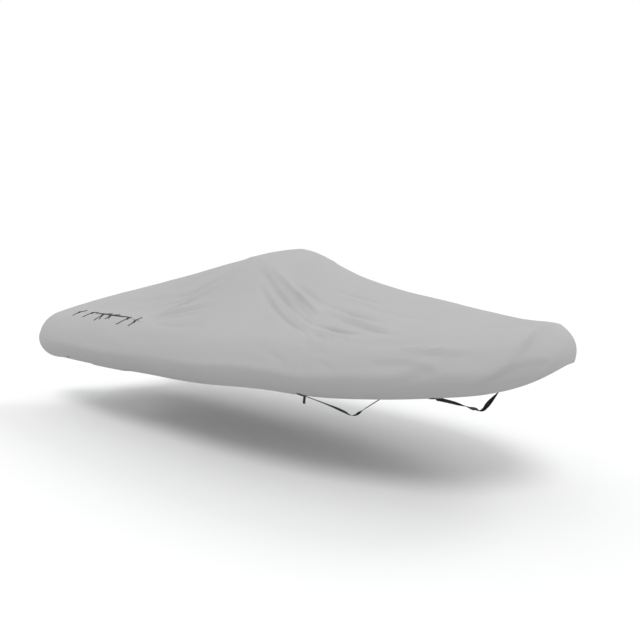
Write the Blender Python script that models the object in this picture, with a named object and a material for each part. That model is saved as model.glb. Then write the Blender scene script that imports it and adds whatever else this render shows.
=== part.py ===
"""Fitted boat cover in the shape in which it lies, stretched and draped.

The cover is a hollow shell: one cloth that runs from its hem round the two side
rolls, over them and up to a ridge along the middle.  It is highest at a bulge
aft of its front half.  Each side has a slit, closed by black ties but for an
open stretch in its middle, and two black belly straps run below the cover from
hem to hem.

Metres, +Z up, front towards +X, port towards +Y.  In the tables x and heights
are measured from a datum on the ground below the rear; shift() moves both so
that the part's origin is the point under the cover's top that it hangs from.
"""
import math

import bmesh
import bpy
import numpy as np
from mathutils import Vector
from mathutils.bvhtree import BVHTree

# ---------------------------------------------------------------- sizes
TOP_X, TOP_Z = 1.885, 2.030      # the held point under the top
CLOTH = 0.0025                   # woven polyester, drawn 2.5 mm thick
SLIT_X = (-1.30, 0.49)           # the slit's two ends
SLIT_SHARE = (0.985, 1.030)      # how far across it lies there, as in FOLDS
OPEN_X = (-0.68, 0.06)           # the part of it that stands open
OPEN_HALF = 0.045                # half its width there
OPEN_EASE, OPEN_INSET = 0.08, 0.02   # it widens over this, ending this far in
SLIT_HALF = 0.004                # half its width where the ties close it
SLIT_EASE = 0.05                 # each of its ends tapers over this length
SLIT_CLEAR = 0.006               # a tie bridges the slit and this much beside it
SLIT_FADE = (0.60, 1.40)         # ahead of it, its line of points meets the roll's start
STERN_X = -1.60                  # where the top turns down at the stern
STERN_HEM = 1.02                 # height of the hem there
STERN_RAKE = 0.030               # how far that panel leans aft at its hem
NOTCH_Y = 0.66                   # the sleeves start this far out
LIP = 140                        # angle of the sleeve's inner top line, degrees
SLEEVE_EASE = 0.42               # the side roll turns into the sleeve over this
WEB_W, WEB_T = 0.038, 0.0022     # belly strap webbing
SEWN = (1.86, 1.905, 1.95, 1.985)    # shares over which a strap's end is sewn
PATCH_L, PATCH_W, PATCH_T = 0.078, 0.024, 0.0020    # sewn loop on the hem
PATCH_SHARE = 1.94               # and how far round it sits
TAIL_L, TAIL_W = 0.058, 0.025    # the middle strap's loose end
TAIL_SWING = 0.010               # how far out it hangs at its tip
BELLY_TURN = (0.070, 0.016)      # a strap's bottom turns up this far out, this high
BELLY_FLAT, BELLY_RISE = 0.035, 0.5  # half its flat bottom, and how it curls up there
BELLY_LEAD = 0.16                # how far it runs on straight where it leaves the hem
BELLY_LAND, BELLY_SAG = 0.55, 0.05   # how it comes in to its bottom turn, and sags
BELLY_STEPS = 9
STERN_LOOP = (-1.20, 1.69)       # small loop on the side roll, x and share
STERN_L, STERN_W = 0.034, 0.018  # and its length and width
TIE_R = 0.0045                   # tie cord radius
KNOT_R, KNOT_L = 0.0105, 0.024   # the knot's radius and half its length
KNOT_OUT = 0.018                 # the knot lies this far outboard of the slit
TIE_BOW = 0.18                   # how far a free end bows, as a share
TIE_LIFT = 0.0028                # the free ends lie this far off the cloth's facets
KNOT_FALL = 0.6                  # how soon the knot thins out to the cord
TIE_STEPS = 6                    # sections along each free end
CORD_SIDES = 6
SEAT = 0.0003                    # gap between pieces that touch
SEAT_STEP, SEAT_TRIES = 0.0002, 20   # a piece is raised by this until it clears
FOLD_FLANK, FOLD_END = 0.6, 0.6  # a fold's flanks, of its width, and how soon it ends
BESIDE = 0.02                    # how far off a point's neighbours are read
LOOK_FROM, LOOK_FAR = 0.08, 0.30     # how far out the cloth is looked for, and how deep
ROLL_TOP = 0.9                   # the share across at which the side roll's axis lies
NEAR = 0.02                      # pieces further off than this aren't measured

COLOURS = {                      # name: (linear rgb, roughness)
    "cloth": ((0.46, 0.46, 0.45), 0.82),
    "webbing": ((0.012, 0.012, 0.013), 0.75),
    "tie_cord": ((0.010, 0.010, 0.011), 0.80),
}

# Ridge of the cover on the centreline.
RIDGE = (                        # x, height
    (-1.60, 1.535), (-0.80, 1.660), (-0.08, 1.774), (0.46, 1.863),
    (1.00, 1.947), (1.49, 2.013), (1.87, 2.034), (1.99, 2.008),
    (2.25, 1.912), (2.59, 1.763), (3.12, 1.622), (3.45, 1.557),
    (3.91, 1.466), (4.20, 1.425),
)

# One row a rib.  Each rib starts on the ridge at spine_x and runs out to the
# side roll's outermost point (out_x, out_y).  Two points at the fractions f1
# and f2 of that way give the height of the cloth's top.  Then it wraps round
# the radius and axis height given, as far as the hem's angle, in degrees from
# the horizontal, that it has to starboard (hem_s) and to port (hem_p).
RIBS = (
    # spine_x out_x  out_y  f1    z1     f2    z2     rad    axis  hem_s hem_p
    (-1.60, -1.60, 1.250, 0.30, 1.460, 0.58, 1.372, 0.320, 0.968, -105, -105),
    (-0.80, -0.80, 1.250, 0.30, 1.505, 0.60, 1.330, 0.323, 0.970, -104, -104),
    (0.00, 0.00, 1.250, 0.30, 1.568, 0.60, 1.335, 0.316, 0.975, -100, -101),
    (0.50, 0.50, 1.250, 0.31, 1.655, 0.61, 1.392, 0.309, 0.980, -92, -94),
    (1.00, 1.00, 1.245, 0.31, 1.770, 0.62, 1.475, 0.304, 0.982, -80, -84),
    (1.55, 1.55, 1.235, 0.30, 1.890, 0.63, 1.512, 0.298, 0.988, -66, -72),
    (1.90, 1.90, 1.220, 0.30, 1.840, 0.64, 1.495, 0.292, 0.996, -60, -66),
    (2.15, 2.15, 1.205, 0.33, 1.715, 0.66, 1.440, 0.287, 1.004, -57, -66),
    (2.53, 2.53, 1.170, 0.33, 1.630, 0.66, 1.425, 0.279, 1.022, -64, -70),
    (2.91, 2.93, 1.115, 0.33, 1.560, 0.66, 1.402, 0.280, 1.030, -84, -76),
    (3.30, 3.45, 1.000, 0.36, 1.490, 0.68, 1.380, 0.271, 1.056, -90, -80),
    (3.60, 3.95, 0.820, 0.36, 1.452, 0.66, 1.380, 0.261, 1.094, -92, -74),
    (3.85, 4.30, 0.580, 0.36, 1.424, 0.62, 1.378, 0.250, 1.126, -86, -54),
    (4.00, 4.51, 0.330, 0.34, 1.412, 0.60, 1.394, 0.232, 1.162, -60, -28),
    (4.10, 4.65, 0.000, 0.33, 1.410, 0.58, 1.402, 0.206, 1.194, -22, -22),
)

# The side roll's tapered sleeve, aft of the stern panel.
SLEEVE = (                       # x, radius, axis_y, axis height, hem out, hem in
    (-1.80, 0.298, 0.932, 0.930, -110, 208),
    (-1.97, 0.258, 0.934, 0.906, -117, 213),
    (-2.12, 0.205, 0.936, 0.896, -127, 220),
    (-2.25, 0.145, 0.937, 0.893, -135, 225),
    (-2.35, 0.084, 0.938, 0.892, -135, 225),
    (-2.405, 0.034, 0.938, 0.892, -135, 225),
)
SLEEVE_TIP = (-2.420, 0.938, 0.892)

# Folds of the cloth.  side -1 is starboard, +1 port, 0 both.  Each runs
# through three points: x along the cover's outer edge, and the share of the way
# across from the ridge (0) to the side roll's start (1) and on round it to the
# hem (2).  A positive height stands out, a negative one sinks in.
FOLDS = (
    # side   x0    a0     x1    a1     x2    a2    width  height
    # the bulge's corner, its hip and the troughs that fall from it
    (-1, 1.00, 0.02, 1.28, 0.15, 1.56, 0.29, 0.100, 0.014),
    (-1, 1.62, 0.31, 2.20, 0.53, 2.95, 0.90, 0.085, -0.034),
    (-1, 1.78, 0.33, 2.42, 0.57, 2.90, 0.76, 0.090, 0.020),
    (-1, 1.85, 0.48, 2.32, 0.66, 2.84, 0.92, 0.075, 0.014),
    (-1, 1.88, 0.52, 2.30, 0.72, 2.80, 0.97, 0.075, -0.017),
    (-1, 2.00, 0.37, 2.36, 0.45, 2.80, 0.60, 0.075, -0.011),
    # creases that run forward from the foot of the hip
    (-1, 2.75, 0.57, 3.10, 0.67, 3.48, 0.78, 0.080, -0.013),
    (-1, 2.88, 0.70, 3.36, 0.88, 3.90, 1.13, 0.085, -0.016),
    (-1, 2.84, 0.89, 3.05, 0.92, 3.40, 0.99, 0.070, -0.010),
    (-1, 2.90, 1.05, 3.14, 1.09, 3.52, 1.15, 0.075, -0.010),
    (-1, 3.50, 0.46, 3.70, 0.58, 3.92, 0.70, 0.120, -0.008),
    # low folds on the side roll
    (-1, 2.30, 1.20, 2.62, 1.33, 2.84, 1.42, 0.080, -0.010),
    (-1, 3.55, 1.38, 3.82, 1.39, 4.12, 1.34, 0.080, -0.010),
    (-1, 3.66, 1.22, 3.93, 1.26, 4.20, 1.36, 0.075, -0.008),
    # slack between the slit and the bulge
    (-1, 0.46, 0.99, 0.80, 0.86, 1.48, 0.73, 0.090, -0.018),
    (-1, 0.42, 0.92, 0.80, 0.79, 1.38, 0.65, 0.080, 0.012),
    (-1, 0.46, 0.86, 0.95, 0.72, 1.36, 0.55, 0.085, -0.018),
    (-1, 0.20, 0.60, 0.78, 0.57, 1.32, 0.39, 0.095, -0.016),
    (-1, 0.62, 0.99, 1.05, 0.97, 1.50, 0.94, 0.080, -0.009),
    # port side, which the photograph doesn't show
    (1, 1.66, 0.32, 2.26, 0.55, 2.86, 0.88, 0.095, -0.026),
    (1, 1.80, 0.50, 2.24, 0.70, 2.70, 0.94, 0.090, -0.014),
    (1, 2.70, 0.60, 3.12, 0.74, 3.60, 0.92, 0.095, -0.014),
    (1, 0.30, 0.97, 0.80, 0.84, 1.40, 0.70, 0.100, -0.017),
    (1, 0.26, 0.66, 0.84, 0.58, 1.34, 0.42, 0.105, -0.014),
    # the turn of the bow
    (-1, 4.36, 1.52, 4.50, 1.34, 4.64, 1.16, 0.080, 0.012),
    (1, 4.36, 1.50, 4.50, 1.33, 4.64, 1.16, 0.080, 0.010),
)

# Ties on each slit: x, how far one free end reaches outboard and aft of the
# knot, and how far the other reaches inboard (below 0: outboard too) and ahead.
TIES = (
    # name  x      out    aft    in     ahead
    ("a", -1.13, 0.082, 0.020, 0.100, 0.005),
    ("b", -0.79, 0.100, 0.063, 0.050, 0.065),
    ("c", -0.42, 0.085, 0.050, -0.070, 0.055),
    ("d", -0.22, 0.050, 0.032, -0.042, 0.032),
    ("e", 0.17, 0.100, 0.090, 0.045, -0.010),
    ("f", 0.38, 0.062, 0.036, 0.100, -0.020),
)

# Belly straps: where each leaves the hem to starboard and to port (x along the
# outer edge), and its lowest point on the centreline.
STRAPS = (
    # name       x_s   x_p   low_x  low_z
    ("front", 3.95, 3.95, 3.925, 0.650),
    ("mid", 2.81, 2.81, 2.580, 0.392),
)

# Ribs along the cover: from x to x on its outer edge (None: the bow), how many.
STATIONS = ((-1.60, -1.30, 2), (-1.30, -0.76, 4), (-0.76, -0.64, 2),
            (-0.64, 0.02, 5), (0.02, 0.14, 2), (0.14, 0.49, 3),
            (0.49, 1.40, 7), (1.40, 3.10, 21), (3.10, None, 16))
TOP_COLS = {-1: 16, 1: 9}        # columns from the ridge to the side roll
WRAP_COLS = {-1: 7, 1: 6}        # columns round the side roll
DROP_ROWS = 4                    # rows down the stern panel


def shift(p):
    return (p[0] - TOP_X, p[1], p[2] - TOP_Z)


# ---------------------------------------------------------------- curves
def smooth_curve(knots, values, t):
    """Monotone cubic through the values of one table column."""
    x, y, t = (np.asarray(a, float) for a in (knots, values, t))
    h, d = np.diff(x), np.diff(y) / np.diff(x)
    m = np.zeros_like(y)
    same = d[:-1] * d[1:] > 0
    w1, w2 = 2 * h[1:] + h[:-1], h[1:] + 2 * h[:-1]
    safe = np.where(same, d[:-1] * d[1:], 1.0)
    m[1:-1] = np.where(same, (w1 + w2) * safe / (w1 * d[1:] + w2 * d[:-1] + 1e-12), 0.0)
    m[0], m[-1] = d[0], d[-1]
    k = np.clip(np.searchsorted(x, t) - 1, 0, len(h) - 1)
    s = (t - x[k]) / h[k]
    return (y[k] * (1 + 2 * s) * (1 - s) ** 2 + m[k] * h[k] * s * (1 - s) ** 2
            + y[k + 1] * s * s * (3 - 2 * s) + m[k + 1] * h[k] * s * s * (s - 1))


def smoothstep(a, b, x):
    s = np.clip((np.asarray(x, float) - a) / (b - a), 0.0, 1.0)
    return s * s * (3 - 2 * s)


RIB = np.array(RIBS, float)
RIB_U = np.concatenate([[0.0], np.cumsum(np.hypot(np.diff(RIB[:, 1]), np.diff(RIB[:, 2])))])
BOW_U = RIB_U[-1]
BOTH_U = np.concatenate([RIB_U, 2 * BOW_U - RIB_U[-2::-1]])
HEM_COL = {-1: 9, 1: 10}


def both_ways(column, side):
    """A column that goes on round the bow, so that both sides meet smoothly."""
    near, far = RIB[:, column], RIB[-2::-1, column]
    if column == 2:
        far = -far
    if column >= 9:
        near, far = RIB[:, HEM_COL[side]], RIB[-2::-1, HEM_COL[-side]]
    return np.concatenate([near, far])


BOTH = {side: [both_ways(c, side) for c in range(10)] for side in (-1, 1)}


def rib_at(u, side):
    """Every column of the rib table at the length u along the outer edge."""
    return [float(smooth_curve(BOTH_U, column, u)) for column in BOTH[side]]


def u_of_x(x):
    us = np.linspace(0.0, BOW_U, 1500)
    return float(np.interp(x, smooth_curve(BOTH_U, BOTH[-1][1], us), us))


def ridge(x):
    r = np.array(RIDGE)
    return float(smooth_curve(r[:, 0], r[:, 1], x))


class Rib:
    """One rib of the smooth cover, before its folds."""

    def __init__(self, u, side):
        self.side = side
        (self.sx, ox, oy, f1, z1, f2, z2, self.rad, self.axis, hem) = rib_at(u, side)
        reach = math.hypot(ox - self.sx, oy)
        self.dir = ((ox - self.sx) / reach, oy / reach)
        self.centre = reach - self.rad
        self.hem = math.radians(hem)
        # tangent from the last point of the top onto the side roll
        dx, dz = f2 * reach - self.centre, z2 - self.axis
        self.touch = math.atan2(dz, dx) - math.acos(min(1.0, self.rad / math.hypot(dx, dz)))
        tip = (self.centre + self.rad * math.cos(self.touch),
               self.axis + self.rad * math.sin(self.touch))
        knots = np.array([(0.0, ridge(self.sx)), (f1 * reach, z1), (f2 * reach, z2), tip])
        chord = np.concatenate([[0.0], np.cumsum(np.hypot(*np.diff(knots, axis=0).T))])
        slope = np.zeros_like(knots)
        slope[0] = (knots[1] - knots[0]) / chord[1] * (1.0, 0.45)
        for i in (1, 2):
            slope[i] = (knots[i + 1] - knots[i - 1]) / (chord[i + 1] - chord[i - 1])
        slope[3] = (knots[3] - knots[2]) / (chord[3] - chord[2])
        t = np.linspace(0.0, chord[-1], 121)
        k = np.clip(np.searchsorted(chord, t) - 1, 0, 2)
        h = (chord[k + 1] - chord[k])[:, None]
        s = (t - chord[k])[:, None] / h
        path = (knots[k] * (1 + 2 * s) * (1 - s) ** 2 + slope[k] * h * s * (1 - s) ** 2
                + knots[k + 1] * s * s * (3 - 2 * s) + slope[k + 1] * h * s * s * (s - 1))
        run = np.concatenate([[0.0], np.cumsum(np.hypot(*np.diff(path, axis=0).T))])
        self.path, self.run = path, run / run[-1]

    def over(self, a):
        q = float(np.interp(a, self.run, self.path[:, 0]))
        return q, float(np.interp(a, self.run, self.path[:, 1]))

    def point(self, a):
        """a runs 0..1 over the top and 1..2 round the side roll to the hem."""
        if a <= 1.0:
            q, z = self.over(a)
        else:
            ang = self.touch + (self.hem - self.touch) * (a - 1.0)
            q, z = self.centre + self.rad * math.cos(ang), self.axis + self.rad * math.sin(ang)
        return np.array([self.sx + q * self.dir[0], self.side * q * self.dir[1], z])


# ---------------------------------------------------------------- folds
def fold_paths(side):
    out = []
    for row in FOLDS:
        if row[0] not in (0, side):
            continue
        (x0, a0, x1, a1, x2, a2, width, height) = row[1:]
        pts = []
        for s in np.linspace(0.0, 1.0, 13):
            w = ((1 - s) ** 2, 2 * s * (1 - s), s * s)
            xm, am = 2 * x1 - 0.5 * (x0 + x2), 2 * a1 - 0.5 * (a0 + a2)
            x, a = w[0] * x0 + w[1] * xm + w[2] * x2, w[0] * a0 + w[1] * am + w[2] * a2
            pts.append(Rib(u_of_x(x), side).point(max(0.0, min(2.0, a))))
        out.append((np.array(pts), width, height))
    return out


def fold_height(points, paths):
    """How far the folds lift each point off the smooth cover."""
    lift = np.zeros(len(points))
    for path, width, height in paths:
        best = np.full(len(points), 1e9)
        along = np.zeros(len(points))
        for i in range(len(path) - 1):
            a, b = path[i], path[i + 1]
            ab = b - a
            t = np.clip(((points - a) @ ab) / (ab @ ab), 0.0, 1.0)
            d = np.linalg.norm(points - (a + t[:, None] * ab), axis=1)
            near = d < best
            best = np.where(near, d, best)
            along = np.where(near, (i + t) / (len(path) - 1), along)
        ends = np.sin(np.pi * np.clip(along, 0.0, 1.0)) ** FOLD_END
        lift += height * ends * np.exp(-(best / (FOLD_FLANK * width)) ** 2)
    return lift


# ---------------------------------------------------------------- cloth
def station_list():
    us = [u_of_x(STATIONS[0][0])]
    for lo, hi, count in STATIONS:
        start = u_of_x(lo)
        end = BOW_U if hi is None else u_of_x(hi)
        us += [start + (end - start) * (i + 1) / count for i in range(count)]
    return us


def slit_share(x):
    """The share across at which the slit's column of points runs."""
    along = np.clip((x - SLIT_X[0]) / (SLIT_X[1] - SLIT_X[0]), 0.0, 1.0)
    share = SLIT_SHARE[0] + (SLIT_SHARE[1] - SLIT_SHARE[0]) * along
    return float(share + (1.0 - share) * smoothstep(*SLIT_FADE, x))


def slit_half(x):
    """Half the slit's width at x: closed by its ties but for the open stretch."""
    def within(lo, hi, ease, inset):
        return (smoothstep(lo - ease + inset, lo + inset, x)
                * (1 - smoothstep(hi - inset, hi - inset + ease, x)))

    ends = within(*SLIT_X, SLIT_EASE, SLIT_EASE)
    wide = within(*OPEN_X, OPEN_EASE, OPEN_INSET)
    return float(ends * SLIT_HALF + wide * (OPEN_HALF - SLIT_HALF))


class Sheet:
    """Points and faces of the open sheet, shared where they coincide."""

    def __init__(self):
        self.points, self.index, self.faces = [], {}, []

    def add(self, p):
        key = tuple(int(round(c * 50000)) for c in p)
        if key not in self.index:
            self.index[key] = len(self.points)
            self.points.append(tuple(p))
        return self.index[key]

    def face(self, corners, side):
        ids = []
        for c in corners:
            i = self.add(c)
            if i not in ids:
                ids.append(i)
        if len(ids) > 2:
            self.faces.append(ids if side < 0 else ids[::-1])

    def zip_rows(self, a, shares_a, b, shares_b, side):
        """Triangles between two neighbouring rows with different counts."""
        i = j = 0
        while i < len(a) - 1 or j < len(b) - 1:
            if j == len(b) - 1 or (i < len(a) - 1 and shares_a[i + 1] <= shares_b[j + 1]):
                self.face((a[i], a[i + 1], b[j]), side)
                i += 1
            else:
                self.face((a[i], b[j + 1], b[j]), side)
                j += 1


def side_grid(side):
    """The ribs of one side, and their points with the folds lifted."""
    slit, wrap = TOP_COLS[side], WRAP_COLS[side]    # the slit is the top's last column
    ribs = [Rib(u, side) for u in station_list()]
    rows = []
    for rib in ribs:
        split = slit_share(rib.sx)
        shares = [split * j / slit for j in range(slit + 1)]
        shares += [split + (2.0 - split) * (j + 1) / wrap for j in range(wrap)]
        rows.append(np.array([rib.point(a) for a in shares]))
    grid = np.array(rows)
    normal = np.cross(np.gradient(grid, axis=0), np.gradient(grid, axis=1))
    normal /= np.linalg.norm(normal, axis=2)[..., None] + 1e-12
    normal *= np.sign(normal[2, 2, 2])
    lift = fold_height(grid.reshape(-1, 3), fold_paths(side)).reshape(grid.shape[:2])
    lift[:, 0] = 0.0
    return ribs, shares, grid + normal * lift[..., None]


def top_and_roll(sheet, side, shares, grid):
    """Faces from the ridge to the hem, with the slit between two copies of its column."""
    slit = TOP_COLS[side]

    def corner(i, j, outer):
        p = grid[i, j].copy()
        if j == slit:
            p[1] += side * slit_half(p[0]) * (1 if outer else -1)
        return p

    plain = len(grid) - 1
    if side > 0:                # the last strip meets the other side's bow rib
        plain -= 1
        sheet.zip_rows(grid[plain], shares, sheet.bow, sheet.bow_shares, side)
    else:
        sheet.bow, sheet.bow_shares = grid[-1], shares
    for i in range(plain):
        for j in range(len(shares) - 1):
            outer = j >= slit
            sheet.face((corner(i, j, outer), corner(i, j + 1, outer),
                        corner(i + 1, j + 1, outer), corner(i + 1, j, outer)), side)


def stern_panel(sheet, side, edge):
    """The top's aft edge turned down to a hem of its own, as rows of points."""
    drop = []
    for r in range(DROP_ROWS + 1):
        t = r / DROP_ROWS
        line = edge.copy()
        line[:, 2] = line[:, 2] * (1 - t) + STERN_HEM * t
        line[:, 0] -= STERN_RAKE * math.sin(0.5 * math.pi * t)
        drop.append(line)
    for upper, lower in zip(drop, drop[1:]):
        for j in range(len(edge) - 1):
            sheet.face((upper[j + 1], upper[j], lower[j], lower[j + 1]), side)
    return drop


def sleeve(sheet, side, touch, first, round_roll, over_top):
    """Tapers the first ring, which runs from the outer hem over to the inner one."""
    lip, rings = math.radians(LIP), [first]
    for x, rad, cy, cz, hem_out, hem_in in SLEEVE:
        hem_out, hem_in = math.radians(hem_out), math.radians(hem_in)
        angles = [hem_out + (touch - hem_out) * k / round_roll for k in range(round_roll)]
        angles += [touch + (lip - touch) * k / over_top for k in range(over_top)]
        angles += [lip + (hem_in - lip) * k / DROP_ROWS for k in range(DROP_ROWS + 1)]
        ring = np.array([(x, side * (cy + rad * math.cos(a)), cz + rad * math.sin(a)) for a in angles])
        ease = float(1 - smoothstep(STERN_X - SLEEVE_EASE, STERN_X, x))
        carried = first.copy()
        carried[:, 0] += x - STERN_X
        rings.append(carried * (1 - ease) + ring * ease)
    for ra, rb in zip(rings, rings[1:]):
        for k in range(len(ra) - 1):
            sheet.face((ra[k], ra[k + 1], rb[k + 1], rb[k]), side)
    tip = np.array([SLEEVE_TIP[0], side * SLEEVE_TIP[1], SLEEVE_TIP[2]])
    for p, q in zip(rings[-1], rings[-1][1:]):
        sheet.face((p, q, tip), side)


def cloth_side(sheet, side):
    slit, wrap = TOP_COLS[side], WRAP_COLS[side]
    ribs, shares, grid = side_grid(side)
    top_and_roll(sheet, side, shares, grid)
    notch = int(np.argmin(np.abs(np.abs(grid[0, :slit, 1]) - NOTCH_Y)))
    drop = stern_panel(sheet, side, grid[0, :notch + 1])
    first = [grid[0, j] for j in range(slit + wrap, notch - 1, -1)]
    first += [row[notch] for row in drop[1:]]
    sleeve(sheet, side, ribs[0].touch, np.array(first), wrap, slit - notch)


# ---------------------------------------------------------------- objects
def material(name):
    rgb, rough = COLOURS[name]
    mat = bpy.data.materials.get(name) or bpy.data.materials.new(name)
    mat.use_nodes = True
    mat.diffuse_color = (*rgb, 1.0)
    bsdf = mat.node_tree.nodes["Principled BSDF"]
    bsdf.inputs["Base Color"].default_value = (*rgb, 1.0)
    bsdf.inputs["Roughness"].default_value = rough
    return mat


def new_object(name, bm, mat):
    mesh = bpy.data.meshes.new(name)
    bm.to_mesh(mesh)
    bm.free()
    obj = bpy.data.objects.new(name, mesh)
    bpy.context.scene.collection.objects.link(obj)
    obj.data.materials.append(material(mat))
    return obj


def build_cloth():
    sheet = Sheet()
    for side in (-1, 1):
        cloth_side(sheet, side)
    bm = bmesh.new()
    verts = [bm.verts.new(shift(p)) for p in sheet.points]
    for ids in sheet.faces:
        bm.faces.new([verts[i] for i in ids])
    obj = new_object("cover_cloth", bm, "cloth")
    wall = obj.modifiers.new("Wall", "SOLIDIFY")
    wall.thickness = CLOTH
    wall.offset = -1.0
    wall.use_even_offset = False
    cut = obj.modifiers.new("Triangles", "TRIANGULATE")
    cut.quad_method = "SHORTEST_DIAGONAL"
    obj.data.shade_smooth()
    return obj


def loft(name, sections, mat):
    """One closed body through sections of equal length, with flat ends."""
    bm = bmesh.new()
    rings = [[bm.verts.new(tuple(p)) for p in ring] for ring in sections]
    n = len(rings[0])
    for a, b in zip(rings, rings[1:]):
        for k in range(n):
            bm.faces.new((a[k], a[(k + 1) % n], b[(k + 1) % n], b[k]))
    bm.faces.new(rings[0][::-1])
    bm.faces.new(rings[-1])
    bmesh.ops.recalc_face_normals(bm, faces=bm.faces)
    return new_object(name, bm, mat)


def band(name, points, normals, width, thick, mat="webbing"):
    """Flat webbing along points, its face turned to the normals."""
    sections = []
    for i, (p, n) in enumerate(zip(points, normals)):
        run = (points[min(i + 1, len(points) - 1)] - points[max(i - 1, 0)]).normalized()
        across = run.cross(n).normalized()
        up = across.cross(run).normalized()
        w, t = across * width / 2, up * thick / 2
        sections.append([p - w - t, p + w - t, p + w + t, p - w + t])
    return loft(name, sections, mat)


def clearance(obj, others):
    """The least distance from a small piece to its neighbours, 0 if they meet."""
    deps = bpy.context.evaluated_depsgraph_get()
    tree = BVHTree.FromObject(obj, deps)
    mesh = obj.data
    spots = [v.co for v in mesh.vertices] + [f.center for f in mesh.polygons]
    spots += [(mesh.vertices[a].co + mesh.vertices[b].co) / 2 for a, b in mesh.edge_keys]
    low = [min(v.co[i] for v in mesh.vertices) - NEAR for i in range(3)]
    high = [max(v.co[i] for v in mesh.vertices) + NEAR for i in range(3)]
    best = 1.0
    for other in others:
        them = BVHTree.FromObject(other, deps)
        if tree.overlap(them):
            return 0.0
        best = min([best] + [them.find_nearest(p)[3] for p in spots])
        for v in other.evaluated_get(deps).data.vertices:
            if all(low[i] < v.co[i] < high[i] for i in range(3)):
                best = min(best, tree.find_nearest(v.co)[3])
    return best


def seated(make, others):
    """Build a piece as low on its neighbours as their facets allow."""
    for step in range(SEAT_TRIES):
        obj = make(SEAT_STEP * step)
        bpy.context.view_layer.update()
        if clearance(obj, others) >= SEAT:
            break
        if step < SEAT_TRIES - 1:
            bpy.data.objects.remove(obj, do_unlink=True)
    return obj


class Skin:
    """The finished cloth, to lay the straps and ties on."""

    def __init__(self, obj):
        self.tree = BVHTree.FromObject(obj, bpy.context.evaluated_depsgraph_get())

    def on(self, x, share, side, lift):
        """The point this far off the cloth's outer face, and the way out."""
        rib = Rib(u_of_x(x), side)
        p = rib.point(share)
        q, r = rib.point(share - BESIDE), Rib(u_of_x(x) - BESIDE, side).point(share)
        out = Vector(np.cross(p - q, p - r)).normalized()
        centre = rib.point(ROLL_TOP) * (1, 1, 0) + (0, 0, rib.axis)
        if out.dot(Vector(p - centre)) < 0:
            out = -out
        start = Vector(shift(p)) + out * LOOK_FROM
        hit, face, _, _ = self.tree.ray_cast(start, -out, LOOK_FAR)
        return hit + out * lift, out

    def above(self, x, y):
        """The cloth's outer face straight below a point, or None over the slit."""
        rib = Rib(u_of_x(x), -1)
        line = abs(rib.point(slit_share(x))[1])
        if abs(abs(y) - line) < slit_half(x) + SLIT_CLEAR:
            return None, None
        hit, face, _, _ = self.tree.ray_cast(Vector((x - TOP_X, y, 1.0)), Vector((0, 0, -1)))
        return hit, face


def belly_strap(skin, name, x_s, x_p, low_x, low_z, more):
    """From hem to hem below the cover, its ends sewn to the cloth's outside."""
    lift = 2 * SEAT + PATCH_T + WEB_T / 2 + more
    ends = []
    for side, x in ((-1, x_s), (1, x_p)):
        ends.append([skin.on(x, share, side, lift) for share in SEWN])
    low = Vector(shift((low_x, 0.0, low_z)))
    points, normals = [], []
    for p, n in ends[0]:
        points.append(p)
        normals.append(n)

    def side_run(hem, before, outward, rev):
        """The free run between a hem and the lowest point, bowed outwards."""
        turn = low + Vector((0, outward * BELLY_TURN[0], BELLY_TURN[1]))
        lead = (hem - before).normalized() * BELLY_LEAD
        land = (turn - hem) * BELLY_LAND - Vector((0, 0, BELLY_SAG))
        out = []
        for i in range(1, BELLY_STEPS + 1):
            s = i / BELLY_STEPS
            p = (hem * (1 + 2 * s) * (1 - s) ** 2 + lead * s * (1 - s) ** 2
                 + turn * s * s * (3 - 2 * s) + land * s * s * (s - 1))
            out.append(p)
        return out[::-1] if rev else out

    free = side_run(ends[0][-1][0], ends[0][-2][0], -1, False)
    back = side_run(ends[1][-1][0], ends[1][-2][0], 1, True)
    flat = [low + Vector((0, y, abs(y) ** 1.5 * BELLY_RISE)) for y in (-BELLY_FLAT, 0.0, BELLY_FLAT)]
    run = free + flat + back
    for i, p in enumerate(run):
        t = (run[min(i + 1, len(run) - 1)] - run[max(i - 1, 0)]).normalized()
        n = Vector((1, 0, 0)).cross(t).normalized()
        normals.append(-n if n.z > 0 else n)
        points.append(p)
    for p, n in ends[1][::-1]:
        points.append(p)
        normals.append(n)
    return band("belly_strap_" + name, points, normals, WEB_W, WEB_T)


def hem_loop(skin, name, x, share, side, length, width, more):
    """Short webbing sewn flat on the cloth, its length along the boat."""
    lift = SEAT + PATCH_T / 2 + more
    laid = [skin.on(x + length * (k / 4 - 0.5), share, side, lift) for k in range(5)]
    return band(name, [p for p, _ in laid], [n for _, n in laid], width, PATCH_T)


def strap_tail(skin, x, more):
    """The middle strap's free end, over the hem and hanging straight down."""
    lift = 3 * SEAT + PATCH_T + 1.5 * WEB_T + more
    laid = [skin.on(x, share, -1, lift) for share in SEWN[1:]]
    points, normals = [p for p, _ in laid], [n for _, n in laid]
    last = points[-1]
    out = Vector((normals[-1].x, normals[-1].y, 0)).normalized()
    for k in range(1, 6):
        s = k / 5
        points.append(last + out * TAIL_SWING * s + Vector((0, 0, -TAIL_L * s)))
        normals.append(normals[2].lerp(out, s).normalized())
    return band("strap_tail", points, normals, TAIL_W, WEB_T)


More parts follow.
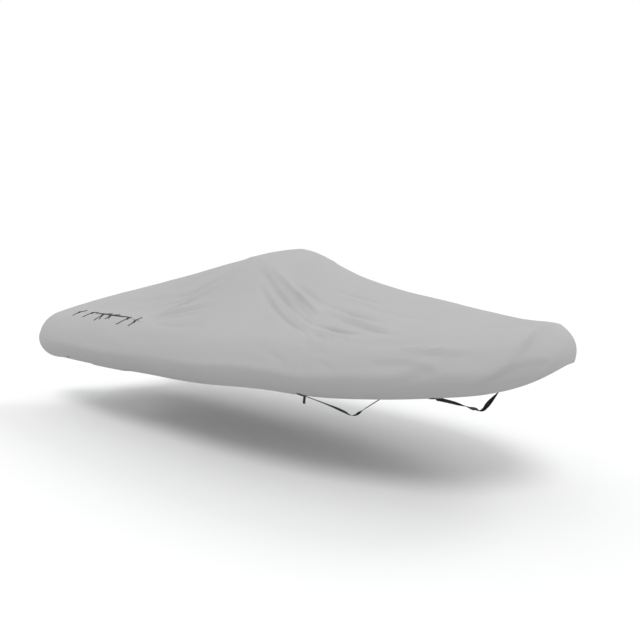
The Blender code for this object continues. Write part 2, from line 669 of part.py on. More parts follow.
def tie(skin, name, side, x, out, aft, inward, ahead, more):
    """A knotted tie: a bulge at the knot and two free ends that lie on the cloth."""
    edge = abs(Rib(u_of_x(x), side).point(slit_share(x))[1]) + slit_half(x) + KNOT_OUT
    knot = np.array((x, edge))
    end_a = knot + (-aft, out)
    end_b = knot + (ahead, -inward)
    flat, knots = [], []
    for k in range(-TIE_STEPS, TIE_STEPS + 1):
        s = abs(k) / TIE_STEPS
        end = end_a if k < 0 else end_b
        bow = TIE_BOW * s * (1 - s) * (end - knot)[::-1] * (1, -1)
        flat.append(knot + (end - knot) * s + bow)
        knots.append(max(0.0, 1 - s * np.linalg.norm(end - knot) / KNOT_L))
    tops = []
    for (px, py), fat in zip(flat, knots):
        hit, face = skin.above(px, side * py)
        radius = TIE_R + (KNOT_R - TIE_R) * fat ** KNOT_FALL
        lift = radius + SEAT + more + (0.0 if fat else TIE_LIFT)
        tops.append((None if hit is None else hit + face * lift, radius))
    for i, (p, radius) in enumerate(tops):
        if p is None:                       # over the slit: bridge it level
            lo = next(t for t, _ in tops[i::-1] if t is not None)
            hi = next(t for t, _ in tops[i:] if t is not None)
            tops[i] = (lo.lerp(hi, 0.5), radius)
    points = [p for p, _ in tops]
    sections = []
    for i, (p, radius) in enumerate(tops):
        run = (points[min(i + 1, 2 * TIE_STEPS)] - points[max(i - 1, 0)]).normalized()
        a = run.cross(Vector((0, 0, 1))).normalized()
        b = a.cross(run)
        turns = (2 * math.pi * k / CORD_SIDES for k in range(CORD_SIDES))
        sections.append([p + (a * math.cos(t) + b * math.sin(t)) * radius for t in turns])
    return loft(name, sections, "tie_cord")


for old in list(bpy.data.objects):
    bpy.data.objects.remove(old, do_unlink=True)

cloth = build_cloth()
skin = Skin(cloth)
for name, x_s, x_p, low_x, low_z in STRAPS:
    loops = [seated(lambda more: hem_loop(skin, "hem_loop_%s_%s" % (name, word), x, PATCH_SHARE,
                                          side, PATCH_L, PATCH_W, more), [cloth])
             for side, word, x in ((-1, "stbd", x_s), (1, "port", x_p))]
    strap = seated(lambda more: belly_strap(skin, name, x_s, x_p, low_x, low_z, more),
                   [cloth] + loops)
    if name == "mid":
        seated(lambda more: strap_tail(skin, x_s, more), [cloth, strap] + loops)
for side, word in ((-1, "stbd"), (1, "port")):
    seated(lambda more: hem_loop(skin, "stern_loop_" + word, STERN_LOOP[0], STERN_LOOP[1], side,
                                 STERN_L, STERN_W, more), [cloth])
    for name, *sizes in TIES:
        seated(lambda more: tie(skin, "tie_%s_%s" % (word, name), side, *sizes, more), [cloth])
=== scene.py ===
"""Looks of the fitted boat cover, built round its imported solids.

One woven cloth with its creases, doubled hems and stitching, two webbing belly
straps with the loops that they are sewn to, and six knotted ties on each slit.
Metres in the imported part's frame: +X to the bow, +Y to port, +Z up, with the
origin under the cover's top.  The cover's tables are written from a datum on
the ground below its rear, and shift() brings them into the frame.
"""
import functools
import math

import bmesh
import bpy
import numpy as np
from mathutils import Matrix, Vector, noise
from mathutils.bvhtree import BVHTree


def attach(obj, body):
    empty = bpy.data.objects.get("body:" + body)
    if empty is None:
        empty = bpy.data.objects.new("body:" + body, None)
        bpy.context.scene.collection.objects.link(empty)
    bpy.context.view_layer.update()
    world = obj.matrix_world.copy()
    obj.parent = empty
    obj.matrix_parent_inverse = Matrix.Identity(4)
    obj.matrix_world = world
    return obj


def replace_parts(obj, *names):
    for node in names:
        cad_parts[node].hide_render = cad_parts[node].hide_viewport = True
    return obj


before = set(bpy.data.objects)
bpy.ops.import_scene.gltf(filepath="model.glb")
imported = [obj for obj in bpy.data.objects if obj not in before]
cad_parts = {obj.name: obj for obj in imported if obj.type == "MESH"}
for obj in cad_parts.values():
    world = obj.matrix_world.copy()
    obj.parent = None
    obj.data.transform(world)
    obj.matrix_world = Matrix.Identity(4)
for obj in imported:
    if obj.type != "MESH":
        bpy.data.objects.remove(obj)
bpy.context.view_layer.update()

# ---------------------------------------------------------------- camera
CAMERA_AT = (4.365, -4.36, -0.28)
CAMERA_TURN, CAMERA_DIP = 43.5, 4.3      # degrees left of +Y, and downwards
LENS_MM, SENSOR_MM = 33.36, 36.0
SIGHT = 200.0                            # how far it sees


def placed(name, data):
    """An object for the data, in the scene."""
    thing = bpy.data.objects.new(name, data)
    bpy.context.scene.collection.objects.link(thing)
    return thing


def place_camera():
    """The photograph's own view."""
    camera = placed("photo_view", bpy.data.cameras.new("photo_view"))
    camera.data.lens, camera.data.sensor_width = LENS_MM, SENSOR_MM
    camera.location = CAMERA_AT
    camera.rotation_euler = (math.radians(90 - CAMERA_DIP), 0.0, math.radians(CAMERA_TURN))
    camera.data.clip_end = SIGHT
    bpy.context.scene.camera = camera


# ---------------------------------------------------------------- the cover's sizes
SIDES = ((-1, "stbd"), (1, "port"))
TOP_X, TOP_Z = 1.885, 2.030      # the held point, from the datum
CLOTH = 0.0020                   # thickness as drawn
SLIT_X = (-1.30, 0.49)           # the slit's two ends
SLIT_SHARE = (0.985, 1.030)      # how far across it lies there
SLIT_FADE = (0.6, 1.4)           # ahead of it the line runs over to the side roll's start
OPEN_X = (-0.68, 0.06)           # the part of it that stands open
OPEN_HALF = 0.045                # half its width there
OPEN_EASE, OPEN_INSET = 0.08, 0.02       # its ends close over this, this far inside
SLIT_HALF = 0.004                # half its width where the ties close it
SLIT_EASE = 0.05                 # and its ends narrow over this
SLIT_PUSH = 0.13                 # the cloth beside it is pushed aside over this
RIDGE_CALM = 0.40                # but less and less this near the middle line
HEM_W, HEM_STEP = 0.030, 0.0012  # width of the doubled hem, and how far it stands out
BIND_W = 0.014                   # width of the slit's doubled edge
EDGE_GAP = 0.004                 # from a doubled edge to the next row of points
HEM_LIP = 0.003                  # from the last row but one to the hem's very edge
STERN_X = -1.60                  # where the top turns down at the stern
STERN_HEM = 1.02                 # height of the hem it ends in
STERN_RAKE = 0.030               # how far that hem lies aft of it
STERN_DROP = 0.5                 # cloth from the one to the other
NOTCH_Y = 0.66                   # the sleeves start this far out
LIP = 140                        # angle of the sleeve's inner top line, degrees
SLEEVE_EASE = 0.42               # its rings take their own form over this
SLEEVE_CROWD = 0.8               # and lie closer together towards its tip, by this power
RIDGE_ROUND = 0.07               # the ridge is rounded off this far to each side
RIDGE_RUN = (-1.58, 4.20)        # between these, above RIDGE_LOW
RIDGE_LOW = -0.95
RIDGE_PASSES, RIDGE_PULL = 6, 0.5        # how often it is smoothed, and how far each time
RIDGE_FLAT = 0.45                # share of its slope that the top keeps at the ridge
RIB_STEPS = 161                  # points over the top of one rib
FINE_STEPS = 1500                # points along the outer edge, to look a place up
RIB_DIGITS, ROW_DIGITS = 4, 5    # places along it are rounded to this many decimals
TINY = 1e-12                     # keeps a division from running into nothing
MIDDLE = 1e-6                    # a point less far out is on the middle line

RIDGE = (                        # x, height
    (-1.60, 1.535), (-0.80, 1.660), (-0.08, 1.774), (0.46, 1.863),
    (1.00, 1.947), (1.49, 2.013), (1.87, 2.034), (1.99, 2.008),
    (2.25, 1.912), (2.59, 1.763), (3.12, 1.622), (3.45, 1.557),
    (3.91, 1.466), (4.20, 1.425),
)

# Ribs from the ridge to the outer edge, as in the solids' own table.
RIBS = (
    # spine_x out_x  out_y  f1    z1     f2    z2     rad    axis  hem_s hem_p
    (-1.60, -1.60, 1.250, 0.30, 1.460, 0.58, 1.372, 0.320, 0.968, -105, -105),
    (-0.80, -0.80, 1.250, 0.30, 1.505, 0.60, 1.330, 0.323, 0.970, -104, -104),
    (0.00, 0.00, 1.250, 0.30, 1.568, 0.60, 1.335, 0.316, 0.975, -100, -101),
    (0.50, 0.50, 1.250, 0.31, 1.655, 0.61, 1.392, 0.309, 0.980, -92, -94),
    (1.00, 1.00, 1.245, 0.31, 1.770, 0.62, 1.475, 0.304, 0.982, -80, -84),
    (1.55, 1.55, 1.235, 0.30, 1.890, 0.63, 1.512, 0.298, 0.988, -66, -72),
    (1.90, 1.90, 1.220, 0.30, 1.840, 0.64, 1.495, 0.292, 0.996, -60, -66),
    (2.15, 2.15, 1.205, 0.33, 1.715, 0.66, 1.440, 0.287, 1.004, -57, -66),
    (2.53, 2.53, 1.170, 0.33, 1.630, 0.66, 1.425, 0.279, 1.022, -64, -70),
    (2.91, 2.93, 1.115, 0.33, 1.560, 0.66, 1.402, 0.280, 1.030, -84, -76),
    (3.30, 3.45, 1.000, 0.36, 1.490, 0.68, 1.380, 0.271, 1.056, -90, -80),
    (3.60, 3.95, 0.820, 0.36, 1.452, 0.66, 1.380, 0.261, 1.094, -92, -74),
    (3.85, 4.30, 0.580, 0.36, 1.424, 0.62, 1.378, 0.250, 1.126, -86, -54),
    (4.00, 4.51, 0.330, 0.34, 1.412, 0.60, 1.394, 0.232, 1.162, -60, -28),
    (4.10, 4.65, 0.000, 0.33, 1.410, 0.58, 1.402, 0.206, 1.194, -22, -22),
)

SLEEVE = (                       # x, radius, axis_y, axis height, hem out, hem in
    (-1.60, 0.320, 0.930, 0.968, -105, 205),
    (-1.80, 0.298, 0.932, 0.930, -110, 208),
    (-1.97, 0.258, 0.934, 0.906, -117, 213),
    (-2.12, 0.205, 0.936, 0.896, -127, 220),
    (-2.25, 0.145, 0.937, 0.893, -135, 225),
    (-2.35, 0.084, 0.938, 0.892, -135, 225),
    (-2.405, 0.034, 0.938, 0.892, -135, 225),
)
SLEEVE_TIP = (-2.420, 0.938, 0.892)
SLEEVE_RINGS = 24

# Creases.  side -1 is starboard and +1 port.  Each runs through three points:
# x along the outer edge and the share of the way across, 0 on the ridge, 1 at
# the side roll's start and 2 at the hem.  width is across the crease at half
# its height; a negative height sinks in.  lean moves its steep flank: above 0
# the flank on the left of its run is the wider one.
CREASES = (
    # side   x0    a0     x1    a1     x2    a2    width  height  lean
    # the bulge's corner, and the folds that fall from it along its hip
    (-1, 1.00, 0.02, 1.28, 0.15, 1.56, 0.29, 0.080, 0.010, 0.0),
    (-1, 1.50, 0.20, 1.90, 0.35, 2.30, 0.46, 0.120, 0.014, 0.2),
    (-1, 1.70, 0.36, 2.24, 0.58, 2.86, 0.88, 0.046, -0.030, -0.2),
    (-1, 1.90, 0.35, 2.40, 0.52, 2.82, 0.72, 0.052, 0.036, 0.3),
    (-1, 1.86, 0.51, 2.28, 0.71, 2.90, 1.00, 0.038, -0.024, 0.0),
    (-1, 2.02, 0.51, 2.42, 0.68, 2.86, 0.91, 0.036, 0.022, 0.0),
    (-1, 2.08, 0.38, 2.40, 0.455, 2.76, 0.59, 0.030, -0.016, 0.0),
    (-1, 2.30, 0.47, 2.52, 0.545, 2.74, 0.63, 0.026, 0.014, 0.0),
    (-1, 2.34, 0.56, 2.58, 0.68, 2.76, 0.78, 0.030, -0.010, 0.0),
    # creases that run forward from the foot of the hip
    (-1, 2.60, 0.35, 2.94, 0.37, 3.28, 0.42, 0.036, -0.014, 0.0),
    (-1, 2.64, 0.40, 2.96, 0.43, 3.30, 0.48, 0.040, 0.009, 0.0),
    (-1, 2.72, 0.56, 3.10, 0.67, 3.50, 0.80, 0.045, -0.022, 0.2),
    (-1, 2.78, 0.63, 3.20, 0.76, 3.62, 0.92, 0.054, 0.017, 0.0),
    (-1, 2.90, 0.73, 3.38, 0.90, 3.78, 1.07, 0.041, -0.017, 0.1),
    (-1, 3.10, 0.50, 3.50, 0.60, 3.86, 0.66, 0.063, -0.012, 0.0),
    (-1, 2.84, 0.86, 3.10, 0.93, 3.44, 1.02, 0.032, -0.020, 0.1),
    (-1, 2.86, 0.92, 3.10, 0.98, 3.36, 1.05, 0.031, 0.013, 0.0),
    (-1, 2.92, 0.98, 3.04, 1.04, 3.18, 1.10, 0.027, -0.013, 0.0),
    (-1, 3.20, 1.10, 3.60, 1.16, 3.96, 1.18, 0.054, -0.010, 0.0),
    (-1, 2.82, 1.10, 2.98, 1.14, 3.16, 1.17, 0.027, -0.010, 0.0),
    (-1, 2.92, 1.22, 3.02, 1.23, 3.16, 1.27, 0.027, -0.012, 0.0),
    (-1, 2.96, 1.29, 3.06, 1.28, 3.18, 1.31, 0.025, 0.007, 0.0),
    # small cockles below the hip
    (-1, 2.80, 0.98, 2.90, 1.02, 2.98, 1.08, 0.022, -0.007, 0.0),
    (-1, 2.72, 0.94, 2.82, 0.99, 2.90, 1.06, 0.022, 0.007, 0.0),
    (-1, 2.98, 1.14, 3.08, 1.15, 3.18, 1.19, 0.022, 0.007, 0.0),
    (-1, 2.78, 1.20, 2.90, 1.20, 3.00, 1.24, 0.022, 0.006, 0.0),
    (-1, 3.06, 1.24, 3.14, 1.26, 3.24, 1.31, 0.022, -0.007, 0.0),
    # low folds on the side roll
    (-1, 2.36, 1.18, 2.66, 1.33, 2.82, 1.42, 0.050, -0.010, 0.0),
    (-1, 3.08, 1.33, 3.18, 1.39, 3.28, 1.46, 0.029, -0.009, 0.0),
    (-1, 3.52, 1.38, 3.72, 1.39, 3.90, 1.38, 0.036, -0.010, 0.0),
    (-1, 3.76, 1.48, 3.91, 1.40, 4.00, 1.46, 0.034, 0.024, 0.3),
    (-1, 3.82, 1.53, 3.92, 1.50, 4.02, 1.52, 0.030, -0.016, 0.0),
    (-1, 3.72, 1.22, 3.96, 1.26, 4.16, 1.32, 0.030, 0.017, 0.0),
    (-1, 3.74, 1.28, 4.00, 1.32, 4.22, 1.38, 0.030, -0.018, 0.0),
    (-1, 3.58, 1.31, 3.78, 1.34, 4.00, 1.37, 0.026, 0.010, 0.0),
    # slack that fans out from the slit's fore end
    (-1, 0.36, 0.96, 0.72, 0.75, 1.32, 0.53, 0.050, -0.025, 0.1),
    (-1, 0.40, 0.90, 0.78, 0.70, 1.30, 0.47, 0.045, 0.019, 0.0),
    (-1, 0.38, 0.95, 0.84, 0.84, 1.48, 0.73, 0.050, -0.023, 0.1),
    (-1, 0.44, 0.88, 0.86, 0.79, 1.42, 0.68, 0.043, 0.016, 0.0),
    (-1, 0.58, 0.98, 0.98, 0.87, 1.44, 0.81, 0.045, -0.017, 0.0),
    (-1, 0.72, 1.00, 1.16, 0.97, 1.58, 0.92, 0.054, -0.013, 0.0),
    (-1, 0.30, 0.56, 0.86, 0.50, 1.28, 0.25, 0.050, -0.022, 0.1),
    (-1, 0.36, 0.64, 0.90, 0.57, 1.30, 0.33, 0.045, 0.016, 0.0),
    (-1, -0.08, 0.40, 0.34, 0.27, 0.80, 0.17, 0.063, -0.012, 0.0),
    (-1, -0.80, 0.62, -0.20, 0.56, 0.30, 0.50, 0.081, -0.009, 0.0),
    (-1, -0.50, 1.42, -0.36, 1.38, -0.22, 1.35, 0.054, -0.009, 0.0),
    (-1, -1.40, 1.16, -0.90, 1.20, -0.30, 1.14, 0.108, -0.010, 0.0),
    (-1, -0.10, 1.20, 0.50, 1.26, 1.20, 1.20, 0.126, -0.009, 0.0),
    # port side, which the photograph doesn't show
    (1, 1.66, 0.32, 2.26, 0.55, 2.86, 0.88, 0.070, -0.026, 0.2),
    (1, 1.80, 0.38, 2.30, 0.56, 2.80, 0.76, 0.060, 0.022, -0.2),
    (1, 1.80, 0.50, 2.24, 0.70, 2.70, 0.94, 0.060, -0.018, 0.0),
    (1, 2.70, 0.60, 3.12, 0.74, 3.60, 0.92, 0.060, -0.016, 0.0),
    (1, 2.74, 0.44, 3.06, 0.50, 3.44, 0.58, 0.056, -0.009, 0.0),
    (1, 2.90, 0.94, 3.20, 1.00, 3.56, 1.10, 0.056, -0.011, 0.0),
    (1, 0.30, 0.97, 0.80, 0.84, 1.40, 0.70, 0.066, -0.016, 0.0),
    (1, 0.34, 0.88, 0.90, 0.74, 1.36, 0.58, 0.060, 0.012, 0.0),
    (1, 0.26, 0.66, 0.84, 0.58, 1.34, 0.42, 0.070, -0.014, 0.0),
    # the bow's face: its upper edge, the fold low on it and the creases between
    (-1, 4.32, 1.57, 4.47, 1.36, 4.58, 1.18, 0.160, 0.034, 0.6),
    (-1, 4.52, 1.21, 4.60, 1.17, 4.65, 1.14, 0.140, 0.024, 0.6),
    (-1, 4.14, 1.71, 4.38, 1.56, 4.56, 1.63, 0.110, 0.024, 0.6),
    (-1, 4.51, 1.60, 4.57, 1.73, 4.53, 1.92, 0.040, 0.011, 0.3),
    (-1, 4.44, 1.56, 4.49, 1.43, 4.54, 1.30, 0.036, -0.010, 0.0),
    (-1, 4.47, 1.56, 4.51, 1.44, 4.56, 1.32, 0.030, 0.008, 0.0),
    (-1, 4.56, 1.30, 4.60, 1.46, 4.62, 1.62, 0.060, -0.008, 0.0),
    (-1, 4.57, 1.74, 4.60, 1.86, 4.61, 1.97, 0.028, -0.008, 0.0),
    (1, 4.36, 1.52, 4.48, 1.36, 4.62, 1.18, 0.090, 0.018, 0.4),
    (1, 4.20, 1.66, 4.40, 1.58, 4.58, 1.66, 0.060, 0.011, 0.3),
    # the side roll turns under along these
    (-1, -1.58, 1.42, -0.40, 1.50, 1.10, 1.46, 0.100, 0.017, -0.3),
    (-1, 0.90, 1.46, 2.30, 1.53, 3.50, 1.48, 0.100, 0.018, -0.3),
    (-1, 3.20, 1.48, 3.86, 1.49, 4.36, 1.55, 0.090, 0.016, -0.3),
    (-1, 3.40, 1.22, 3.95, 1.28, 4.40, 1.36, 0.080, 0.013, -0.3),
    (1, -1.58, 1.42, -0.40, 1.50, 1.10, 1.46, 0.100, 0.017, 0.3),
    (1, 0.90, 1.46, 2.30, 1.53, 4.30, 1.52, 0.100, 0.018, 0.3),
)
CREASE_STEPS = 15
CREASE_STRAY = 0.007             # how far a crease strays from its curve
CREASE_UNEVEN = 0.30             # and by what share its height varies
STRAY_STEP = (4.0, 7.3)          # how fast that changes along it and from one to the next
UNEVEN_STEP = (5.0, 3.1, 9.0)
CREASE_FADE = 0.7                # the smaller, the longer it keeps its height
CREASE_FLANK = 0.6               # a flank's reach, as a share of the width
CREASE_SHARP = 1.5               # 1 is a sharp edge, 2 a round one
SLACK_REACH = 2.2                # how many widths away the cloth still cockles
SLACK_FULL = 0.012               # and the height of crease at which it does fully
TIGHT = (0.9, 1.2)               # between these shares the cloth turns tight,
TIGHT_SHARE = 0.75               # and loses this much of its unevenness
BILLOW, BILLOW_SIZE = 0.0028, 0.42     # slow unevenness of the slack cloth
RIPPLE, RIPPLE_SIZE = 0.0007, 0.075    # and of the cloth between creases
OCTAVES = (1.0, 2.0, 3)          # how they add up: fall-off, step in size, how many

# Rows along the cover: from x to x on its outer edge (None: the bow), how many.
STATIONS = ((-1.60, -1.34, 7), (-1.34, -1.22, 6), (-1.22, -0.78, 11), (-0.78, -0.58, 10),
            (-0.58, -0.04, 12), (-0.04, 0.16, 10), (0.16, 0.43, 8), (0.43, 0.55, 6),
            (0.55, 1.50, 34), (1.50, 3.60, 142), (3.60, None, 60))
TOP_COLS = {-1: 72, 1: 22}       # columns from the ridge to the slit's line
TOP_CROWD = 1.35                 # closer together away from the ridge, by this power
WRAP_COLS = {-1: 26, 1: 13}      # and from there to the hem
DROP_ROWS = 12                   # rows down the stern panel


def shift(p):
    """A point from the datum, in the part's frame."""
    return Vector((p[0] - TOP_X, p[1], p[2] - TOP_Z))


# ---------------------------------------------------------------- curves
def cubic(p, q, leave, arrive, s):
    """The cubic from p to q, with the slopes at which it leaves and arrives."""
    return (p * (1 + 2 * s) * (1 - s) ** 2 + leave * s * (1 - s) ** 2
            + q * s * s * (3 - 2 * s) + arrive * s * s * (s - 1))


def lengths_along(points):
    """How far each point of a flat path is from its start."""
    return np.concatenate([[0.0], np.cumsum(np.hypot(*np.diff(points, axis=0).T))])


def smooth_curve(knots, values, t):
    """Monotone cubic through the values of one table column."""
    x, y, t = (np.asarray(a, float) for a in (knots, values, t))
    h, d = np.diff(x), np.diff(y) / np.diff(x)
    m = np.zeros_like(y)
    same = d[:-1] * d[1:] > 0
    w1, w2 = 2 * h[1:] + h[:-1], h[1:] + 2 * h[:-1]
    safe = np.where(same, d[:-1] * d[1:], 1.0)
    m[1:-1] = np.where(same, (w1 + w2) * safe / (w1 * d[1:] + w2 * d[:-1] + TINY), 0.0)
    m[0], m[-1] = d[0], d[-1]
    k = np.clip(np.searchsorted(x, t) - 1, 0, len(h) - 1)
    s = (t - x[k]) / h[k]
    return cubic(y[k], y[k + 1], m[k] * h[k], m[k + 1] * h[k], s)


def smoothstep(a, b, x):
    """0 up to a, 1 from b on, and smooth between them."""
    s = np.clip((np.asarray(x, float) - a) / (b - a), 0.0, 1.0)
    return s * s * (3 - 2 * s)


RIB = np.array(RIBS, float)
RIB_U = lengths_along(RIB[:, 1:3])       # along the outer edge, from the stern
BOW_U = float(RIB_U[-1])
BOTH_U = np.concatenate([RIB_U, 2 * BOW_U - RIB_U[-2::-1]])
OUT_COLUMN = 2                           # the one that changes its sign at the bow
HEM_COLUMN = {-1: 9, 1: 10}


def both_ways(column, side):
    """A column that goes on round the bow, so that both sides meet smoothly."""
    near, far = RIB[:, column], RIB[-2::-1, column]
    if column == OUT_COLUMN:
        far = -far
    if column >= HEM_COLUMN[-1]:
        near, far = RIB[:, HEM_COLUMN[side]], RIB[-2::-1, HEM_COLUMN[-side]]
    return np.concatenate([near, far])


BOTH = {side: [both_ways(c, side) for c in range(HEM_COLUMN[1])] for side in (-1, 1)}
FINE_U = np.linspace(0.0, BOW_U, FINE_STEPS)
FINE_X = smooth_curve(BOTH_U, BOTH[-1][1], FINE_U)


def u_of_x(x):
    """How far along the outer edge a place x on it lies."""
    return float(np.interp(x, FINE_X, FINE_U))


class Rib:
    """One rib of the smooth cover: over the top, then round the side roll."""

    def __init__(self, u, side):
        self.side = side
        columns = [float(smooth_curve(BOTH_U, column, u)) for column in BOTH[side]]
        self.sx, ox, oy, f1, z1, f2, z2, self.rad, self.axis, hem = columns
        reach = math.hypot(ox - self.sx, oy)
        self.dir = ((ox - self.sx) / reach, oy / reach)
        self.centre = reach - self.rad
        self.hem = math.radians(hem)
        dx, dz = f2 * reach - self.centre, z2 - self.axis
        self.touch = math.atan2(dz, dx) - math.acos(min(1.0, self.rad / math.hypot(dx, dz)))
        tip = (self.centre + self.rad * math.cos(self.touch),
               self.axis + self.rad * math.sin(self.touch))
        top = float(smooth_curve([r[0] for r in RIDGE], [r[1] for r in RIDGE], self.sx))
        knots = np.array([(0.0, top), (f1 * reach, z1), (f2 * reach, z2), tip])
        chord = lengths_along(knots)
        slope = np.zeros_like(knots)
        slope[0] = (knots[1] - knots[0]) / chord[1] * (1.0, RIDGE_FLAT)
        for i in (1, 2):
            slope[i] = (knots[i + 1] - knots[i - 1]) / (chord[i + 1] - chord[i - 1])
        slope[3] = (knots[3] - knots[2]) / (chord[3] - chord[2])
        t = np.linspace(0.0, chord[-1], RIB_STEPS)
        k = np.clip(np.searchsorted(chord, t) - 1, 0, 2)
        h = (chord[k + 1] - chord[k])[:, None]
        s = (t - chord[k])[:, None] / h
        self.path = cubic(knots[k], knots[k + 1], slope[k] * h, slope[k + 1] * h, s)
        run = lengths_along(self.path)
        self.run = run / run[-1]
        self.top_length, self.wrap_length = run[-1], self.rad * (self.touch - self.hem)

    def points(self, shares):
        """Shares 0..1 run over the top and 1..2 round the side roll to the hem."""
        a = np.asarray(shares, float)
        turn = self.touch + (self.hem - self.touch) * (a - 1.0)
        over = a <= 1.0
        q = np.where(over, np.interp(a, self.run, self.path[:, 0]),
                     self.centre + self.rad * np.cos(turn))
        z = np.where(over, np.interp(a, self.run, self.path[:, 1]),
                     self.axis + self.rad * np.sin(turn))
        return np.stack([self.sx + q * self.dir[0], self.side * q * self.dir[1], z], axis=1)

    def step(self, share, metres):
        """The share that lies this many metres further on."""
        return share + metres / (self.top_length if share < 1.0 else self.wrap_length)


@functools.lru_cache(maxsize=None)
def rib(u, side):
    """The rib that meets the outer edge this far along it."""
    return Rib(u, side)


def rib_at(x, side):
    """The rib that meets the outer edge at x."""
    return rib(round(u_of_x(x), RIB_DIGITS), side)


def slit_share(x):
    """The share across at which the slit's line runs."""
    along = np.clip((x - SLIT_X[0]) / (SLIT_X[1] - SLIT_X[0]), 0.0, 1.0)
    share = SLIT_SHARE[0] + (SLIT_SHARE[1] - SLIT_SHARE[0]) * along
    return float(share + (1.0 - share) * smoothstep(*SLIT_FADE, x))


def slit_line(x, side):
    """How far out the middle of the slit lies at x."""
    return abs(rib_at(x, side).points([slit_share(x)])[0][1])


def slit_half(x):
    """Half the slit's width at x: closed by its ties but for the open stretch."""
    def within(lo, hi, ease, inset):
        """1 between the two ends, which ease off this far inside them, and 0 outside."""
        return (smoothstep(lo - ease + inset, lo + inset, x)
                * (1 - smoothstep(hi - inset, hi - inset + ease, x)))

    ends = within(*SLIT_X, SLIT_EASE, SLIT_EASE)
    wide = within(*OPEN_X, OPEN_EASE, OPEN_INSET)
    return float(ends * SLIT_HALF + wide * (OPEN_HALF - SLIT_HALF))


# ---------------------------------------------------------------- creases
@functools.lru_cache(maxsize=None)
def crease_paths():
    """Every crease as points on the smooth cover."""
    found = []
    for number, (side, x0, a0, x1, a1, x2, a2, width, height, lean) in enumerate(CREASES):
        points = []
        for s in np.linspace(0.0, 1.0, CREASE_STEPS):
            w = ((1 - s) ** 2, 2 * s * (1 - s), s * s)
            xm, am = 2 * x1 - 0.5 * (x0 + x2), 2 * a1 - 0.5 * (a0 + a2)
            x, a = w[0] * x0 + w[1] * xm + w[2] * x2, w[0] * a0 + w[1] * am + w[2] * a2
            place = Vector((STRAY_STEP[0] * s, STRAY_STEP[1] * number, 0.0))
            stray = CREASE_STRAY * noise.noise(place)
            here = rib_at(x, side)
            points.append(here.points([np.clip(here.step(a, stray), 0.0, 2.0)])[0])
        uneven = []
        for s in np.linspace(0.0, 1.0, CREASE_STEPS):
            place = Vector((UNEVEN_STEP[0] * s, UNEVEN_STEP[1] * number, UNEVEN_STEP[2]))
            uneven.append(1 + CREASE_UNEVEN * noise.noise(place))
        found.append((np.array(points), np.array(uneven), width, height, lean))
    return found


def crease_lift(points, normals, paths):
    """How far the creases lift each point, and how creased the cloth is there."""
    lift, slack = np.zeros(len(points)), np.zeros(len(points))
    for path, uneven, width, height, lean in paths:
        best = np.full(len(points), np.inf)
        along, offset = np.zeros(len(points)), np.zeros(len(points))
        for i in range(len(path) - 1):
            a, ab = path[i], path[i + 1] - path[i]
            t = np.clip(((points - a) @ ab) / (ab @ ab), 0.0, 1.0)
            away = points - (a + t[:, None] * ab)
            d = np.linalg.norm(away, axis=1)
            near = d < best
            best = np.where(near, d, best)
            along = np.where(near, (i + t) / (len(path) - 1), along)
            left = (away * np.cross(normals, ab)).sum(axis=1)
            offset = np.where(near, np.sign(left) * d, offset)
        ends = np.sin(np.pi * np.clip(along, 0.0, 1.0)) ** CREASE_FADE
        flank = CREASE_FLANK * width * (1 + lean * np.sign(offset))
        high = np.interp(along, np.linspace(0, 1, len(uneven)), uneven)
        lift += height * high * ends * np.exp(-np.abs(offset / flank) ** CREASE_SHARP)
        slack += ends * abs(height) * np.exp(-(best / (SLACK_REACH * width)) ** 2)
    return lift, slack


def unevenness(points, height, size):
    """Fractal noise of this height and size at each point."""
    return np.array([noise.fractal(Vector(p) / size, *OCTAVES) for p in points]) * height


# ---------------------------------------------------------------- the cloth's grid
def run_along(grid, axis):
    """Metres along the grid's lines, so that the weave keeps its size."""
    step = np.linalg.norm(np.diff(grid, axis=axis), axis=2)
    start = np.zeros_like(np.take(step, [0], axis=axis))
    return np.concatenate([start, np.cumsum(step, axis=axis)], axis=axis)


